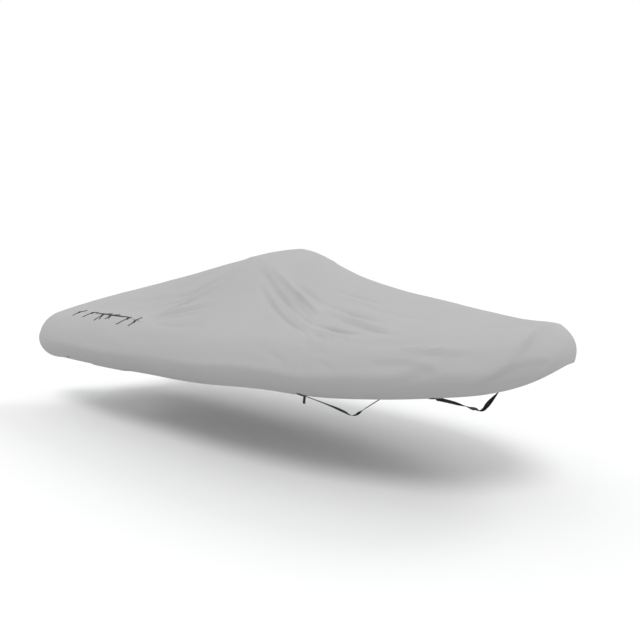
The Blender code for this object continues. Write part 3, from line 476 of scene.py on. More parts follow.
class CoverSide:
    """One half of the cloth: a grid of points in rows along the cover."""

    def __init__(self, side):
        self.side = side
        self.ribs = [rib(u, side) for u in self.stations()]
        rows = [r.points(self.shares(r)) for r in self.ribs]
        self.slit = TOP_COLS[side] + 2
        smooth = np.array(rows)
        flat = smooth.reshape(-1, 3)
        normal = self.normals(smooth)
        lift, slack = crease_lift(flat, normal.reshape(-1, 3), crease_paths())
        tight = np.array([[smoothstep(*TIGHT, a) for a in self.shares(r)] for r in self.ribs])
        uneven = unevenness(flat, BILLOW, BILLOW_SIZE) + unevenness(flat, RIPPLE, RIPPLE_SIZE)
        uneven = uneven.reshape(tight.shape) * (1 - TIGHT_SHARE * tight)
        self.slack = np.clip(slack.reshape(tight.shape) / SLACK_FULL, 0.0, 1.0)
        lift = lift.reshape(tight.shape) + uneven
        self.grid = smooth + normal * lift[..., None]
        self.open_slit()
        self.raise_hems(normal)
        self.along, self.across = run_along(self.grid, 0), run_along(self.grid, 1)

    def stations(self):
        """Where along the outer edge the rows of points lie."""
        found = [round(u_of_x(STATIONS[0][0]), ROW_DIGITS)]
        for lo, hi, count in STATIONS:
            start, end = u_of_x(lo), BOW_U if hi is None else u_of_x(hi)
            found += [round(start + (end - start) * (i + 1) / count, ROW_DIGITS)
                      for i in range(count)]
        return found

    def shares(self, r):
        """The shares of one rib's points, closer together at the slit and the hem."""
        split = slit_share(r.sx)
        near, far = r.step(split, -BIND_W - EDGE_GAP), r.step(split, BIND_W + EDGE_GAP)
        edge = 2.0 - (HEM_W + EDGE_GAP) / r.wrap_length
        over = list(near * (1 - (1 - np.linspace(0.0, 1.0, TOP_COLS[self.side] + 1)) ** TOP_CROWD))
        over += [r.step(split, -BIND_W), split]
        down = [r.step(split, BIND_W)] + list(np.linspace(far, edge, WRAP_COLS[self.side] + 1))
        return over + down + [2.0 - HEM_W / r.wrap_length, 2.0 - HEM_LIP / r.wrap_length, 2.0]

    def normals(self, grid):
        """The way out at each point; both halves agree on the middle line."""
        normal = np.cross(np.gradient(grid, axis=0), np.gradient(grid, axis=1))
        normal[..., 1] *= np.abs(grid[..., 1]) > MIDDLE
        normal /= np.linalg.norm(normal, axis=2)[..., None] + TINY
        return normal * np.sign(normal[2, 2, 2])

    def open_slit(self):
        """Pushes the cloth aside at the slit; inner and outer are its two edges."""
        self.inner = self.grid[:, :self.slit + 1].copy()
        self.outer = self.grid[:, self.slit:].copy()
        for part, way, edge in ((self.inner, -1, -1), (self.outer, 1, 0)):
            for i in range(len(part)):
                half = slit_half(self.grid[i, self.slit, 0])
                if half == 0.0:
                    continue
                away = np.abs(part[i, :, 1] - part[i, edge, 1])
                calm = smoothstep(0.0, RIDGE_CALM, np.abs(part[i, :, 1]))
                part[i, :, 1] += self.side * way * (half * np.exp(-away / SLIT_PUSH) * calm)

    def raise_hems(self, normal):
        """The hem and the slit's edges are folded double, so they stand out."""
        self.outer[:, -3:] += normal[:, -3:] * HEM_STEP
        for i, r in enumerate(self.ribs):
            ends = float(slit_half(r.sx) > 0.0)
            self.inner[i, -2:] += normal[i, self.slit - 1:self.slit + 1] * HEM_STEP * ends
            self.outer[i, :2] += normal[i, self.slit:self.slit + 2] * HEM_STEP * ends


def stern_rows(cover):
    """The top's aft edge turned down to a hem of its own, as rows of points."""
    row = cover.inner[0]
    notch = int(np.argmin(np.abs(np.abs(row[:, 1]) - NOTCH_Y)))
    rows = []
    for t in np.linspace(0.0, 1.0, DROP_ROWS + 1):
        line = row[:notch + 1].copy()
        line[:, 2] = line[:, 2] * (1 - t) + STERN_HEM * t
        line[:, 0] -= STERN_RAKE * math.sin(0.5 * math.pi * t)
        rows.append(line)
    return np.array(rows), notch


def sleeve_rings(cover, drop, notch):
    """Rings of the tapered sleeve, from the outer hem over to the inner one."""
    first = list(cover.outer[0, ::-1]) + list(cover.inner[0, notch:-1][::-1]) + list(drop[1:, -1])
    first = np.array(first)
    shares = np.array(cover.shares(cover.ribs[0]))
    wrap = (2.0 - shares[:cover.slit - 1:-1]) / (2.0 - shares[cover.slit])
    top = (shares[cover.slit] - shares[notch:cover.slit][::-1]) / (shares[cover.slit] - shares[notch])
    columns = list(zip(*SLEEVE))
    tips = [STERN_X + (SLEEVE[-1][0] - STERN_X) * (k / SLEEVE_RINGS) ** SLEEVE_CROWD
            for k in range(1, SLEEVE_RINGS + 1)]
    rings, touch = [first], cover.ribs[0].touch
    for x in tips:
        rad, cy, cz, out, inn = (float(smooth_curve([-v for v in columns[0]], c, -x))
                                 for c in columns[1:])
        out, inn, lip = math.radians(out), math.radians(inn), math.radians(LIP)
        angles = list(out + (touch - out) * wrap) + list(touch + (lip - touch) * top)
        angles += [lip + (inn - lip) * k / DROP_ROWS for k in range(1, DROP_ROWS + 1)]
        ring = np.array([(x, cover.side * (cy + rad * math.cos(a)), cz + rad * math.sin(a))
                         for a in angles])
        ease = float(1 - smoothstep(STERN_X - SLEEVE_EASE, STERN_X, x))
        carried = first.copy()
        carried[:, 0] += x - STERN_X
        rings.append(carried * (1 - ease) + ring * ease)
    return np.array(rings)


# ---------------------------------------------------------------- mesh helpers
BAND_EDGE = 1.6                  # a webbing is flat to this many half thicknesses from its edge
BAND_ROUNDING = 4                # faces round its edge
ROUND_SIDES = 10                 # and round a cord
STITCH_LIFT, STITCH_HEIGHT = 0.15, 0.7     # a stitch lies and stands this much of its width


def sheet_of(bm, points, along, across, slack):
    """A grid of faces whose corners are moved to the points; returns its corners."""
    rows, cols = points.shape[:2]
    made = bmesh.ops.create_grid(bm, x_segments=rows - 1, y_segments=cols - 1, size=0.5)["verts"]
    layers = [bm.verts.layers.float[name] for name in ("along", "across", "slack")]
    corners = {}
    for v in made:
        i, j = round((v.co.x + 0.5) * (rows - 1)), round((v.co.y + 0.5) * (cols - 1))
        v.co = shift(points[i, j])
        for layer, values in zip(layers, (along, across, slack)):
            v[layer] = float(values[i, j])
        corners[i, j] = v
    return corners


def finished(bm, name, finish, thickness=0.0):
    """A mesh piece from the bmesh, smooth shaded, riding on the part."""
    mesh = bpy.data.meshes.new(name)
    bm.to_mesh(mesh)
    bm.free()
    mesh.shade_smooth()
    piece = placed(name, mesh)
    mesh.materials.append(finish)
    if thickness:
        wall = piece.modifiers.new("Wall", "SOLIDIFY")
        wall.thickness, wall.offset, wall.use_even_offset = thickness, -1.0, False
    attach(piece, "root")
    return piece


def aligned(point, across, up, run):
    """The matrix that puts X, Y and Z on these three ways at the point."""
    found = Matrix((across, up, run)).transposed().to_4x4()
    found.translation = point
    return found


def frames_along(points, normals):
    """Matrices that carry a flat outline along points: X across, Y up, Z onward."""
    found = []
    for i, (p, n) in enumerate(zip(points, normals)):
        run = (points[min(i + 1, len(points) - 1)] - points[max(i - 1, 0)]).normalized()
        across = n.cross(run).normalized()
        found.append(aligned(p, across, run.cross(across).normalized(), run))
    return found


def sweep(bm, outline, frames, sizes=None):
    """Extrudes a closed outline from frame to frame, with a cap at each end."""
    along, across = (bm.verts.layers.float.get(n) or bm.verts.layers.float.new(n)
                     for n in ("along", "across"))
    sizes = sizes or [1.0] * len(frames)
    ring = [bm.verts.new((x, y, 0.0)) for x, y in outline]
    for k, v in enumerate(ring):
        v[across] = outline[k][0]
    bm.faces.new(ring[::-1])
    edges = [bm.edges.get((ring[k], ring[(k + 1) % len(ring)])) for k in range(len(ring))]
    bmesh.ops.transform(bm, matrix=frames[0] @ Matrix.Scale(sizes[0], 4), verts=ring)
    travelled = 0.0
    for before, after, small, large in zip(frames, frames[1:], sizes, sizes[1:]):
        made = bmesh.ops.extrude_edge_only(bm, edges=edges)["geom"]
        ring = [g for g in made if isinstance(g, bmesh.types.BMVert)]
        edges = [g for g in made if isinstance(g, bmesh.types.BMEdge)]
        move = after @ Matrix.Scale(large / small, 4) @ before.inverted()
        bmesh.ops.transform(bm, matrix=move, verts=ring)
        travelled += (after.translation - before.translation).length
        for v in ring:
            v[along] = travelled
    bmesh.ops.contextual_create(bm, geom=edges)


def band_outline(width, thick):
    """A webbing's section: flat, with rounded edges."""
    r = thick / 2
    flat = width / 2 - BAND_EDGE * r
    turn = [math.pi * k / BAND_ROUNDING for k in range(BAND_ROUNDING + 1)]
    right = [(width / 2 - r + r * math.sin(a), -r * math.cos(a)) for a in turn]
    right = [(flat, -r)] + right + [(flat, r)]
    return right + [(-x, -y) for x, y in right]


def round_outline(radius):
    """A cord's section."""
    turns = [2 * math.pi * k / ROUND_SIDES for k in range(ROUND_SIDES)]
    return [(radius * math.cos(a), radius * math.sin(a)) for a in turns]


def stitches(bm, points, normals, stitch):
    """A row of stitches: small flattened cubes at an even pitch along a seam."""
    pitch, length, width = stitch
    steps = [0.0] + list(np.cumsum([(b - a).length for a, b in zip(points, points[1:])]))
    for s in np.arange(pitch / 2, steps[-1] - pitch / 2, pitch):
        i = min(int(np.searchsorted(steps, s)) - 1, len(points) - 2)
        t = (s - steps[i]) / (steps[i + 1] - steps[i])
        p, n = points[i].lerp(points[i + 1], t), normals[i].lerp(normals[i + 1], t).normalized()
        run = (points[i + 1] - points[i]).normalized()
        place = aligned(p + n * width * STITCH_LIFT, n.cross(run).normalized(), n, run)
        size = Matrix.Diagonal((width, width * STITCH_HEIGHT, length, 1.0))
        bmesh.ops.create_cube(bm, size=1.0, matrix=place @ size)


# ---------------------------------------------------------------- shader helpers
SPOT_ROUGHNESS = 0.55
MIX_A, MIX_B, MIX_RESULT = 6, 7, 2       # a colour mix's two colours and its result


class Value:
    """A socket whose arithmetic adds Math nodes to its tree."""

    def __init__(self, paint, socket):
        self.paint, self.socket = paint, socket

    def math(self, operation, *others, first=True):
        """A Math node on this value and the others, which come first where first is off."""
        terms = (self, *others) if first else (*others, self)
        return self.paint.node("ShaderNodeMath", {"operation": operation}, dict(enumerate(terms)))

    def __add__(self, other):
        return self.math("ADD", other)

    def __sub__(self, other):
        return self.math("SUBTRACT", other)

    def __rsub__(self, other):
        return self.math("SUBTRACT", other, first=False)

    def __mul__(self, other):
        return self.math("MULTIPLY", other)

    __radd__, __rmul__ = __add__, __mul__


class Finish:
    """A material under construction."""

    def __init__(self, name, roughness, colour):
        self.material = bpy.data.materials.new(name)
        self.material.use_nodes = True
        self.tree = self.material.node_tree
        self.shader = self.tree.nodes["Principled BSDF"]
        self.shader.inputs["Base Color"].default_value = (*colour, 1.0)
        self.shader.inputs["Roughness"].default_value = roughness
        self.material.diffuse_color = (*colour, 1.0)

    def node(self, kind, settings=None, inputs=None, output=0):
        """A node of that type with its settings, then its sockets' values or links."""
        node = self.tree.nodes.new(kind)
        for name, value in (settings or {}).items():
            setattr(node, name, value)
        for name, value in (inputs or {}).items():
            if isinstance(value, Value):
                self.tree.links.new(value.socket, node.inputs[name])
            else:
                node.inputs[name].default_value = value
        return Value(self, node.outputs[output])

    def attribute(self, name):
        """What the piece's mesh says under this name."""
        return self.node("ShaderNodeAttribute", {"attribute_name": name}, output="Fac")

    def spots(self, size, detail):
        """Noise of the given size in metres, on the piece's own coordinates."""
        where = self.node("ShaderNodeTexCoord", output="Object")
        return self.node("ShaderNodeTexNoise", {}, {"Vector": where, "Scale": 1.0 / size,
                                                    "Detail": detail, "Roughness": SPOT_ROUGHNESS})

    def feed(self, socket, value):
        """Links the value to a socket of the shader."""
        self.tree.links.new(value.socket, self.shader.inputs[socket])

    def wear(self, share, roughness, dark, light):
        """Colour and roughness that both go from one value to another with the share."""
        smooth, rough = roughness
        sockets = {0: share, MIX_A: (*dark, 1.0), MIX_B: (*light, 1.0)}
        blend = self.node("ShaderNodeMix", {"data_type": "RGBA"}, sockets, MIX_RESULT)
        self.feed("Base Color", blend)
        self.feed("Roughness", smooth + (rough - smooth) * share)

    def bumps(self, *layers):
        """Bump nodes in a row, each (height, distance, strength)."""
        normal = None
        for height, distance, strength in layers:
            inputs = {"Height": height, "Distance": distance, "Strength": strength}
            if normal:
                inputs["Normal"] = normal
            normal = self.node("ShaderNodeBump", {}, inputs)
        self.feed("Normal", normal)
        return self.material


# ---------------------------------------------------------------- finishes
# A LOOK is a plain roughness and colour.  A WEAR is what they vary between: the two
# roughnesses, the darkest colour and the lightest.  SPOTS are a size and a detail,
# and a BUMP is a height and a strength.
CLOTH_LOOK = (0.82, (0.374, 0.371, 0.369))
CLOTH_WEAR = ((0.76, 0.86), (0.344, 0.342, 0.341), (0.374, 0.371, 0.369))
SOIL = ((0.65, 4.0, 0.6), (0.04, 3.0, 0.4))      # size, detail and share of its blotches
WEAVE_PITCH, WEAVE_BUMP = 0.0016, (0.00012, 0.5)     # one thread and its gap
COCKLE_SPOTS, COCKLE_BUMP = (0.055, 4.0), (0.0022, 0.55)
COCKLE_LEAST = 0.25              # share of the cockles that tight cloth keeps
WEBBING_LOOK = (0.72, (0.013, 0.013, 0.014))
WEBBING_WEAR = ((0.66, 0.82), (0.010, 0.010, 0.011), (0.026, 0.026, 0.027))
WEBBING_SPOTS = (0.012, 3.0)
RIB_PITCH, RIB_BUMP = 0.0028, (0.0005, 0.7)
RIB_SLANT = 900.0                # radians per metre by which they trail towards the edge
CORD_LOOK = (0.80, (0.010, 0.010, 0.011))
CORD_WEAR = ((0.72, 0.86), (0.008, 0.008, 0.009), (0.024, 0.024, 0.026))
CORD_SPOTS = (0.006, 2.0)
PLAIT_PITCH, PLAIT_SLANT, PLAIT_BUMP = 0.004, 1.2, (0.0006, 0.8)
THREAD_LOOK = (0.70, (0.55, 0.55, 0.54))
THREAD_WEAR = ((0.62, 0.78), (0.46, 0.46, 0.45), (0.60, 0.60, 0.59))
THREAD_SPOTS = (0.02, 2.0)


def waves(distance, pitch):
    """A sine of that pitch along the distance."""
    return (distance * (math.tau / pitch)).math("SINE")


def cloth_finish():
    """Matt coated polyester: fine plain weave, faint cockles and light soiling."""
    finish = Finish("cloth", *CLOTH_LOOK)
    along, across = finish.attribute("along"), finish.attribute("across")
    threads = waves(along, WEAVE_PITCH) * waves(across, WEAVE_PITCH)
    slack = COCKLE_LEAST + (1 - COCKLE_LEAST) * finish.attribute("slack")
    cockles = finish.spots(*COCKLE_SPOTS) * slack
    large, small = (finish.spots(size, detail) * share for size, detail, share in SOIL)
    finish.wear(large + small, *CLOTH_WEAR)
    return finish.bumps((threads, *WEAVE_BUMP), (cockles, *COCKLE_BUMP))


def webbing_finish():
    """Black woven webbing with its ribs across the run."""
    finish = Finish("webbing", *WEBBING_LOOK)
    along, across = finish.attribute("along"), finish.attribute("across")
    ribs = (along * (math.tau / RIB_PITCH) + across.math("ABSOLUTE") * RIB_SLANT).math("SINE")
    finish.wear(finish.spots(*WEBBING_SPOTS), *WEBBING_WEAR)
    return finish.bumps((ribs, *RIB_BUMP))


def cord_finish():
    """Black braided cord."""
    finish = Finish("tie_cord", *CORD_LOOK)
    along, across = finish.attribute("along"), finish.attribute("across") * PLAIT_SLANT
    plait = waves(along + across, PLAIT_PITCH) * waves(along - across, PLAIT_PITCH)
    finish.wear(finish.spots(*CORD_SPOTS), *CORD_WEAR)
    return finish.bumps((plait, *PLAIT_BUMP))


def thread_finish():
    """Pale grey sewing thread, a little lighter than the cloth."""
    finish = Finish("thread", *THREAD_LOOK)
    finish.wear(finish.spots(*THREAD_SPOTS), *THREAD_WEAR)
    return finish.material


# ---------------------------------------------------------------- the cover
HEM_STITCH = (0.008, 0.0055, 0.0011)     # the hem's stitches: pitch, length, width
SLIT_PAST = 0.01                 # the slit's seams run on past its ends
MERGE, DEGENERATE = 2e-5, 1e-6   # points this close are one, and no edge is this short


def sew_cover(finish):
    """The whole cloth as one sheet: both halves, the stern panel and the sleeves."""
    halves = {side: CoverSide(side) for side in (-1, 1)}
    bm = bmesh.new()
    for name in ("along", "across", "slack"):
        bm.verts.layers.float.new(name)
    bow_edges = ([], [])                           # above the slit's line, and below it
    for side, cover in halves.items():
        last = None if side < 0 else -1            # the last port strip is bridged
        span = slice(0, last)
        parts = ((cover.inner, slice(0, cover.slit + 1)), (cover.outer, slice(cover.slit, None)))
        for (part, cols), edges in zip(parts, bow_edges):
            corners = sheet_of(bm, part[span], cover.along[span, cols], cover.across[span, cols],
                               cover.slack[span, cols])
            row = max(i for i, _ in corners)
            line = [corners[row, j] for j in range(part.shape[1])]
            edges += [bm.edges.get(pair) for pair in zip(line, line[1:])]
        drop, notch = stern_rows(cover)
        flat = np.zeros(drop.shape[:2])
        down = np.linspace(0.0, STERN_DROP, len(drop))[:, None] + flat
        sheet_of(bm, drop, down, cover.across[0, :notch + 1][None, :] + flat, flat)
        rings = sleeve_rings(cover, drop, notch)
        tip = np.full_like(rings[:1], 1.0) * (SLEEVE_TIP[0], side * SLEEVE_TIP[1], SLEEVE_TIP[2])
        rings = np.concatenate([rings, tip])
        sheet_of(bm, rings, STERN_X - rings[..., 0], run_along(rings, 1),
                 np.zeros(rings.shape[:2]))
    for edges in bow_edges:
        bmesh.ops.bridge_loops(bm, edges=edges)
    bmesh.ops.remove_doubles(bm, verts=bm.verts, dist=MERGE)
    bmesh.ops.dissolve_degenerate(bm, dist=DEGENERATE, edges=bm.edges)
    ridge = [v for v in bm.verts if abs(v.co.y) < RIDGE_ROUND and v.co.z > RIDGE_LOW
             and RIDGE_RUN[0] < v.co.x + TOP_X < RIDGE_RUN[1]]
    for _ in range(RIDGE_PASSES):
        bmesh.ops.smooth_vert(bm, verts=ridge, factor=RIDGE_PULL, use_axis_z=True)
    bmesh.ops.recalc_face_normals(bm, faces=bm.faces)
    topmost = max(bm.faces, key=lambda f: f.calc_center_median().z)
    if topmost.normal.z < 0:
        bmesh.ops.reverse_faces(bm, faces=bm.faces)
    tree = BVHTree.FromBMesh(bm)
    cover = finished(bm, "boat_cover", finish, thickness=CLOTH)
    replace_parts(cover, "cover_cloth")
    return halves, tree


def sew_seams(halves, thread):
    """Stitching along the hem and along both edges of each slit."""
    bm = bmesh.new()
    for cover in halves.values():
        normal = cover.normals(cover.grid)
        rows = [i for i, r in enumerate(cover.ribs)
                if SLIT_X[0] - SLIT_PAST < r.sx < SLIT_X[1] + SLIT_PAST]
        seams = ((cover.outer[:, -3], cover.normals(cover.outer)[:, -3]),
                 (cover.inner[rows, -2], normal[rows, cover.slit - 1]),
                 (cover.outer[rows, 1], normal[rows, cover.slit + 1]))
        for points, ways_out in seams:
            stitches(bm, [shift(p) for p in points], [Vector(n) for n in ways_out], HEM_STITCH)
    finished(bm, "hem_stitching", thread)


# ---------------------------------------------------------------- straps and loops
WEB_W, WEB_T = 0.038, 0.0022     # belly strap webbing
SEWN = (1.86, 1.985)             # shares between which a strap's end is sewn down
SEWN_STEPS = 12
PATCH_L, PATCH_W, PATCH_T = 0.078, 0.024, 0.0020    # loop sewn on the hem
PATCH_SHARE = 1.94
TAIL_L, TAIL_W = 0.058, 0.025    # the middle strap's loose end
TAIL_SEWN = 1.905                # the share from which it is sewn down
TAIL_SWING, TAIL_CURL = 0.010, 0.22      # how far it swings out, and its curl
TAIL_STEPS, TAIL_LAID = 12, 8    # steps of its hanging part, and points laid on the strap
TAIL_TACKED = 2                  # the one of them where it is tacked down
STERN_LOOP = (-1.20, 1.69)       # small loop on the side roll, x and share
STERN_L, STERN_W = 0.034, 0.018
STERN_RISE, HEM_RISE = 0.0050, 0.0012     # how far the loops' middles stand out
PATCH_FREE = 0.62                # the share of a loop that is free
PATCH_STEPS, PATCH_TACKED = 16, 2        # steps along it, and how many in it is tacked down
SEAT = 0.0003                    # the gap that pieces which touch keep
BELLY_TURN = (0.070, 0.016)      # a strap's bottom turns up this far out, this high
BELLY_FLAT = 0.035               # it lies flat out to here,
BELLY_RISE, BELLY_ROUND = 0.5, 1.5       # apart from a rise by this power of the way
BELLY_LEAD = 0.16                # how far it runs on straight where it leaves the hem
BELLY_BACK = 4                   # that way is taken over this many of its sewn points
BELLY_LAND, BELLY_SAG = 0.55, 0.05       # how slack it comes in at the bottom
BELLY_STEPS, BELLY_FLAT_STEPS = 40, 9
STRAPS = (                       # where each leaves the hem, its lowest point, its twist on the way
    # name    x      low_x  low_z
    ("front", 3.95, 3.925, 0.650, (0.0, 0.85, 0.85, 0.75, 0.0, -0.65, 0.0)),
    ("mid", 2.81, 2.580, 0.392, (0.0, 0.22, 0.28, 0.45, 0.80, 0.75, 0.0)),
)
TWIST_AT = (0.0, 0.10, 0.30, 0.52, 0.74, 0.90, 1.0)    # shares of the way down
SEAM_SHARE = 0.86                # stitches across a band leave its edges free
BOX_WIDTH = 0.8                  # a sewn box, as a share of its strap's width
BOX_STITCH = (0.0042, 0.0030, 0.0010)
TACK_STITCH = (0.0016, 0.00144, 0.0009)  # a bar tack's, in two rows this far apart:
TACK_ROWS = 0.0024
OUT_STEP = 0.02                  # how far aside, and across, a way out is measured
OUT_FROM, OUT_REACH = 0.08, 0.3  # the cloth is looked for from here, over this way
ABOVE = 1.0                      # and straight down from this high
SLIT_BESIDE = 0.004              # there is none this close to the slit's edges
ROLL_SHARE = 0.9                 # on the middle of the side roll's rib


class Skin:
    """The finished cloth's outer face, to lay straps and ties on."""

    def __init__(self, tree):
        self.tree = tree

    def on(self, x, share, side, lift):
        """The point this far off the cloth's outer face, and the way out."""
        here = rib_at(x, side)
        beside = rib(round(u_of_x(x) - OUT_STEP, RIB_DIGITS), side)
        p, q = here.points([share, share - OUT_STEP])
        out = Vector(np.cross(p - q, p - beside.points([share])[0])).normalized()
        middle = Vector(here.points([ROLL_SHARE])[0])
        middle.z = here.axis
        if out.dot(Vector(p) - middle) < 0:
            out = -out
        hit, face, _, _ = self.tree.ray_cast(shift(p) + out * OUT_FROM, -out, OUT_REACH)
        if face.dot(out) < 0:
            face = -face
        return hit + out * lift, face.lerp(out, 0.5).normalized()

    def above(self, x, y):
        """The cloth's outer face straight below a point, or None over the slit."""
        start = Vector((x - TOP_X, y, ABOVE))
        hit, face, _, _ = self.tree.ray_cast(start, Vector((0, 0, -1)))
        if hit is None or abs(abs(y) - slit_line(x, -1)) < slit_half(x) + SLIT_BESIDE:
            return None, None
        return hit, face if face.z > 0 else -face


def belly_path(skin, x, low_x, low_z, twist):
    """The way from hem to hem below the cover, and the side that faces out."""
    lift = 2 * SEAT + PATCH_T + HEM_STEP + WEB_T / 2
    low = shift((low_x, 0.0, low_z))
    halves = {}
    for side in (-1, 1):
        sewn = [skin.on(x, share, side, lift) for share in np.linspace(*SEWN, SEWN_STEPS)]
        hem, before = sewn[-1][0], sewn[-BELLY_BACK][0]
        turn = low + Vector((0, side * BELLY_TURN[0], BELLY_TURN[1]))
        lead = (hem - before).normalized() * BELLY_LEAD
        land = (turn - hem) * BELLY_LAND - Vector((0, 0, BELLY_SAG))
        path = []
        for s in np.linspace(0, 1, BELLY_STEPS + 1)[1:]:
            path.append(cubic(hem, turn, lead, land, s))
        halves[side] = sewn, path
    flat = [low + Vector((0, y, abs(y) ** BELLY_ROUND * BELLY_RISE))
            for y in np.linspace(-BELLY_FLAT, BELLY_FLAT, BELLY_FLAT_STEPS)]
    (sewn_s, path_s), (sewn_p, path_p) = halves[-1], halves[1]
    run = path_s + flat + path_p[::-1]
    down = [smooth_curve(TWIST_AT, twist, (k + 1) / BELLY_STEPS) for k in range(BELLY_STEPS)]
    turns = down + [0.0] * len(flat) + [-turn for turn in down[::-1]]
    normals = []
    for before, after, turn in zip([run[0]] + run[:-1], run[1:] + [run[-1]], turns):
        n = Vector((1, 0, 0)).cross(after - before).normalized()
        n = -n if n.z > 0 else n
        normals.append(Matrix.Rotation(turn, 3, after - before) @ n)
    points = [p for p, _ in sewn_s] + run + [p for p, _ in sewn_p[::-1]]
    return points, [n for _, n in sewn_s] + normals + [n for _, n in sewn_p[::-1]]


def box_stitch(bm, points, normals, width, lift):
    """A sewn box with its cross, on the first or last stretch of a strap."""
    rails = {}
    for edge in (-1, 1):
        rails[edge] = []
        for i, (p, n) in enumerate(zip(points, normals)):
            run = points[min(i + 1, len(points) - 1)] - points[max(i - 1, 0)]
            rails[edge].append(p + n.cross(run).normalized() * edge * width / 2 + n * lift)
    lines = [rails[-1], rails[1], [rails[-1][0], rails[1][0]], [rails[-1][-1], rails[1][-1]]]
    count = len(points)
    for start in (-1, 1):
        mix = [k / (count - 1) for k in range(count)]
        lines.append([a.lerp(b, t) for a, b, t in zip(rails[start], rails[-start], mix)])
    for line in lines:
        facing = normals if len(line) == count else [normals[0]] * 2
        stitches(bm, line, facing, BOX_STITCH)


def bar_tack(bm, p, n, across, width):
    """Dense stitches in one short row across a band."""
    ends = [p - across * width / 2, p + across * width / 2]
    for way in (-0.5, 0.5):
        aside = n.cross(across).normalized() * way * TACK_ROWS
        stitches(bm, [e + aside for e in ends], [n, n], TACK_STITCH)


def sewn_loop(skin, name, x, share, side, size, rise, finish, threads):
    """Short webbing along the cover, tacked down at both ends over a free middle."""
    length, width, thick = size
    points, normals = [], []
    for k in range(PATCH_STEPS + 1):
        t = 2 * k / PATCH_STEPS - 1
        high = rise * float(1 - smoothstep(0.0, PATCH_FREE, abs(t)))
        lift = SEAT + HEM_STEP + thick / 2 + high
        p, n = skin.on(x + length * t / 2, share, side, lift)
        points.append(p)
        normals.append(n)
    bm = bmesh.new()
    frames = frames_along(points, normals)
    sweep(bm, band_outline(width, thick), frames)
    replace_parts(finished(bm, name, finish), name)
    for k in (PATCH_TACKED, PATCH_STEPS - PATCH_TACKED):
        across = Vector(frames[k].col[0][:3])
        bar_tack(threads, points[k] + normals[k] * thick / 2, normals[k], across,
                 width * SEAM_SHARE)


def fit_straps(skin, finish, thread):
    """Both belly straps, and every loop, with their stitching."""
    threads = bmesh.new()
    for name, x, low_x, low_z, twist in STRAPS:
        points, normals = belly_path(skin, x, low_x, low_z, twist)
        bm = bmesh.new()
        sweep(bm, band_outline(WEB_W, WEB_T), frames_along(points, normals))
        strap = finished(bm, "belly_strap_" + name, finish)
        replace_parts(strap, "belly_strap_" + name)
        for end in (slice(1, SEWN_STEPS - 3), slice(-2, 3 - SEWN_STEPS, -1)):
            box_stitch(threads, points[end], normals[end], WEB_W * BOX_WIDTH, WEB_T / 2)
        for side, word in SIDES:
            sewn_loop(skin, "hem_loop_%s_%s" % (name, word), x, PATCH_SHARE, side,
                      (PATCH_L, PATCH_W, PATCH_T), HEM_RISE, finish, threads)
        if name == "mid":
            hang_tail(skin, x, finish, threads)
    for side, word in SIDES:
        sewn_loop(skin, "stern_loop_" + word, *STERN_LOOP, side, (STERN_L, STERN_W, PATCH_T),
                  STERN_RISE, finish, threads)
    finished(threads, "strap_stitching", thread)


def hang_tail(skin, x, finish, threads):
    """The middle strap's free end, over the hem and hanging straight down."""
    lift = 3 * SEAT + PATCH_T + HEM_STEP + 1.5 * WEB_T
    laid = [skin.on(x, share, -1, lift) for share in np.linspace(TAIL_SEWN, SEWN[1], TAIL_LAID)]
    points, normals = [p for p, _ in laid], [n for _, n in laid]
    last = points[-1]
    out = Vector((normals[-1].x, normals[-1].y, 0)).normalized()
    for s in np.linspace(0, 1, TAIL_STEPS + 1)[1:]:
        curl = TAIL_SWING * (s + TAIL_CURL * math.sin(math.pi * s))
        points.append(last + out * curl + Vector((0, 0, -TAIL_L * s)))
        normals.append(normals[TAIL_LAID - 1].lerp(out, s).normalized())
    bm = bmesh.new()
    frames = frames_along(points, normals)
    sweep(bm, band_outline(TAIL_W, WEB_T), frames)
    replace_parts(finished(bm, "strap_tail", finish), "strap_tail")
    p, n = points[TAIL_TACKED], normals[TAIL_TACKED]
    across = Vector(frames[TAIL_TACKED].col[0][:3])
    bar_tack(threads, p + n * WEB_T / 2, n, across, TAIL_W * SEAM_SHARE)


# ---------------------------------------------------------------- ties
CORD = 0.0075                    # tie cord's diameter
KNOT_OUT = 0.018                 # the knot lies this far outboard of the slit
KNOT_SCALE = 0.0041              # size of the knot's loops
KNOT_FLAT = 0.8                  # how much narrower than long they lie
KNOT_DEEP, KNOT_HIGH = 0.48, 0.95        # its turns' rise and its height, in cord diameters
KNOT_STEPS = 72
STANDING = 0.024                 # how far its two fixed parts run to where they are sewn
STANDING_AHEAD = (-0.014, 0.020)         # and how far aft or ahead each of them does
STANDING_RISE = 0.003            # how much higher they leave the knot
STANDING_SIZES = [1.0] * 11 + [0.97, 0.85, 0.6]
TIES = (                         # how far the free ends reach from the knot, as in the solids
    # name  x      out    aft    in     ahead
    ("a", -1.13, 0.082, 0.020, 0.100, 0.005),
    ("b", -0.79, 0.100, 0.063, 0.050, 0.065),
    ("c", -0.42, 0.085, 0.050, -0.070, 0.055),
    ("d", -0.22, 0.050, 0.032, -0.042, 0.032),
    ("e", 0.17, 0.100, 0.090, 0.045, -0.010),
    ("f", 0.38, 0.062, 0.036, 0.100, -0.020),
)
TURNS = (-0.08, -0.14, -0.20, -0.28, -0.10, -0.45)     # how far each bows to one side
WAVES = (0.05, 0.02, -0.01)      # and how far it snakes, in turn
CORD_STEPS = 24
CORD_SEAT = 0.0006               # the gap between a free end and the cloth
END_RISE, END_FALL = 0.006, 0.016        # it leaves the knot this high and comes down over this
END_TAPER = ((1, 0.72), (2, 0.94))       # its last two points, melted thinner


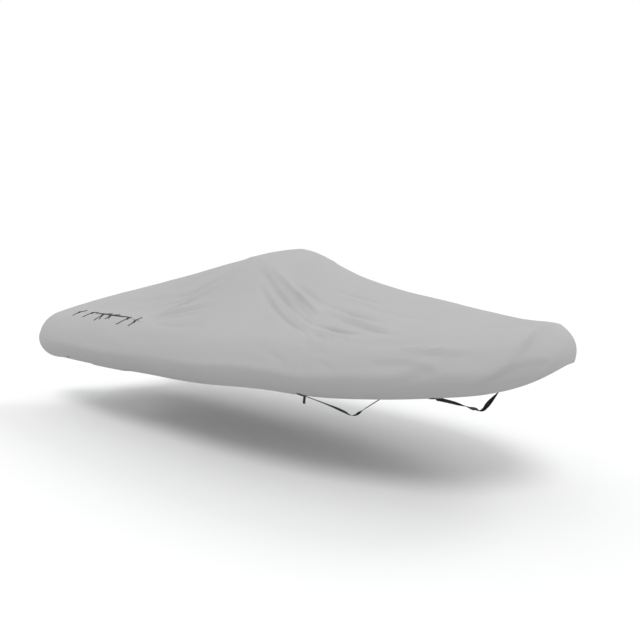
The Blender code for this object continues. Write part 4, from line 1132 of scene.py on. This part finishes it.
def laid_on(skin, flat, side, lifts):
    """Points on the cloth below a flat path, bridged level over the slit."""
    found = []
    for (x, y), lift in zip(flat, lifts):
        hit, face = skin.above(x, side * y)
        found.append(None if hit is None else hit + face * lift)
    for i, p in enumerate(found):
        if p is None:
            before = next((q for q in found[i::-1] if q is not None), None)
            after = next((q for q in found[i:] if q is not None), None)
            level = [q.z for q in (before, after) if q is not None]
            found[i] = Vector((flat[i][0] - TOP_X, side * flat[i][1], sum(level) / len(level)))
    return found


def cord_curve(name, points, finish):
    """A braided cord as one open spline, its tip melted to a taper."""
    curve = bpy.data.curves.new(name, "CURVE")
    curve.dimensions, curve.bevel_depth, curve.bevel_resolution = "3D", CORD / 2, 3
    curve.use_fill_caps = True
    spline = curve.splines.new("POLY")
    spline.points.add(len(points) - 1)
    for k, p in enumerate(points):
        spline.points[k].co = (*p, 1.0)
    for k, size in END_TAPER:
        spline.points[-k].radius = size
    piece = placed(name, curve)
    curve.materials.append(finish)
    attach(piece, "root")
    return piece


def free_end(skin, side, knot, reach, turn, wave):
    """A free end: out of the knot, down to the cloth and along it in a slack curve."""
    reach, knot = np.array(reach), np.array(knot)
    square = np.array((-reach[1], reach[0]))
    flat, lifts = [], []
    for s in np.linspace(0.0, 1.0, CORD_STEPS):
        bow = turn * s * (1 - s) + wave * math.sin(2 * math.pi * s) * s
        flat.append(knot + reach * s + square * bow)
        away = np.linalg.norm(reach) * s
        lifts.append(CORD / 2 + CORD_SEAT + END_RISE * math.exp(-(away / END_FALL) ** 2))
    return laid_on(skin, flat, side, lifts)


def knot_path(centre, across, up, along):
    """A trefoil: the closed turns of a drawn-up knot."""
    points = []
    for k in range(KNOT_STEPS):
        t = math.tau * k / KNOT_STEPS
        u, v = math.sin(t) + 2 * math.sin(2 * t), math.cos(t) - 2 * math.cos(2 * t)
        points.append(centre + (across * u * KNOT_FLAT + along * v) * KNOT_SCALE
                      - up * math.sin(3 * t) * CORD * KNOT_DEEP)
    return points


def tie_knot(skin, side, name, x, edge, finish):
    """The drawn knot with the two fixed parts that it joins across the slit."""
    knot = np.array((x, edge))
    (centre,) = laid_on(skin, [knot], side, [CORD * KNOT_HIGH])
    up = skin.above(x, side * edge)[1] or Vector((0, 0, 1))
    along = (Vector((1, 0, 0)) - up * up.x).normalized()
    turns = knot_path(centre, up.cross(along), up, along)
    loop = turns[-1:] + turns + turns[:1]
    frames = frames_along(loop, [up] * len(loop))[1:-1]
    bm = bmesh.new()
    sweep(bm, round_outline(CORD / 2), frames[1:] + frames[:2])
    inboard = 2 * slit_half(x) + KNOT_OUT + STANDING
    shares = np.linspace(0, 1, len(STANDING_SIZES))
    for ahead, far in zip(STANDING_AHEAD, (-inboard, STANDING)):
        flat = [knot + np.array((ahead, far)) * s for s in shares]
        lifts = [CORD / 2 + STANDING_RISE * (1 - s) ** 2 for s in shares]
        frames = frames_along(laid_on(skin, flat, side, lifts), [up] * len(flat))
        sweep(bm, round_outline(CORD / 2), frames, STANDING_SIZES)
    return finished(bm, name, finish)


def fasten_ties(skin, finish):
    """Six ties on each slit, each a knot with its two free ends."""
    for side, word in SIDES:
        for number, (name, x, out, aft, inward, ahead) in enumerate(TIES):
            node = "tie_%s_%s" % (word, name)
            edge = slit_line(x, side) + (slit_half(x) + KNOT_OUT)
            knot = tie_knot(skin, side, "knot_%s_%s" % (word, name), x, edge, finish)
            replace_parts(knot, node)
            wave = WAVES[number % len(WAVES)]
            for end, reach, turn in (("aft", (-aft, out), TURNS[number]),
                                     ("fore", (ahead, -inward), TURNS[number - 2])):
                points = free_end(skin, side, (x, edge), reach, turn, wave)
                length = sum((b - a).length for a, b in zip(points, points[1:]))
                cord = cord_curve("%s_%s" % (node, end), points, finish)
                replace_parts(cord, node)
                [knot] if end == "aft" else []


# ---------------------------------------------------------------- stage and light
FLOOR_Z = -TOP_Z
FLOOR_HALF = 60.0
FLOOR_GREY, FLOOR_ROUGHNESS = 0.785, 0.9
SKY = 0.88                       # even light from all round
SKY_COLOUR = (0.985, 0.990, 1.0, 1.0)
LAMPS = (                        # and two soft lights from above
    # name     strength turn tilt   spread
    ("ahead", 1.34, 40.0, 36.0, 25.0),
    ("behind", 0.52, 165.0, 42.0, 25.0),
)


def light_studio():
    """White all round to the camera, a little less to the piece, and a white floor."""
    world = bpy.data.worlds.new("studio")
    bpy.context.scene.world = world
    world.use_nodes = True
    tree = world.node_tree
    seen, given = tree.nodes["Background"], tree.nodes.new("ShaderNodeBackground")
    seen.inputs["Color"].default_value = (1.0, 1.0, 1.0, 1.0)
    given.inputs["Color"].default_value = SKY_COLOUR
    given.inputs["Strength"].default_value = SKY
    path, mix = tree.nodes.new("ShaderNodeLightPath"), tree.nodes.new("ShaderNodeMixShader")
    tree.links.new(path.outputs["Is Camera Ray"], mix.inputs[0])
    tree.links.new(given.outputs[0], mix.inputs[1])
    tree.links.new(seen.outputs[0], mix.inputs[2])
    tree.links.new(mix.outputs[0], tree.nodes["World Output"].inputs[0])
    bm = bmesh.new()
    bmesh.ops.create_grid(bm, x_segments=1, y_segments=1, size=FLOOR_HALF,
                          matrix=Matrix.Translation((0.0, 0.0, FLOOR_Z)))
    mesh = bpy.data.meshes.new("floor")
    bm.to_mesh(mesh)
    bm.free()
    mesh.materials.append(Finish("floor", FLOOR_ROUGHNESS, [FLOOR_GREY] * 3).material)
    placed("floor", mesh)
    for name, strength, turn, tilt, spread in LAMPS:
        lamp = placed(name, bpy.data.lights.new(name, "SUN"))
        lamp.data.energy, lamp.data.angle = strength, math.radians(spread)
        lamp.rotation_euler = (math.radians(tilt), 0.0, math.radians(turn))
    bpy.context.scene.view_settings.view_transform = "Standard"


place_camera()
light_studio()
webbing, thread = webbing_finish(), thread_finish()
halves, tree = sew_cover(cloth_finish())
sew_seams(halves, thread)
skin = Skin(tree)
fit_straps(skin, webbing, thread)
fasten_ties(skin, cord_finish())
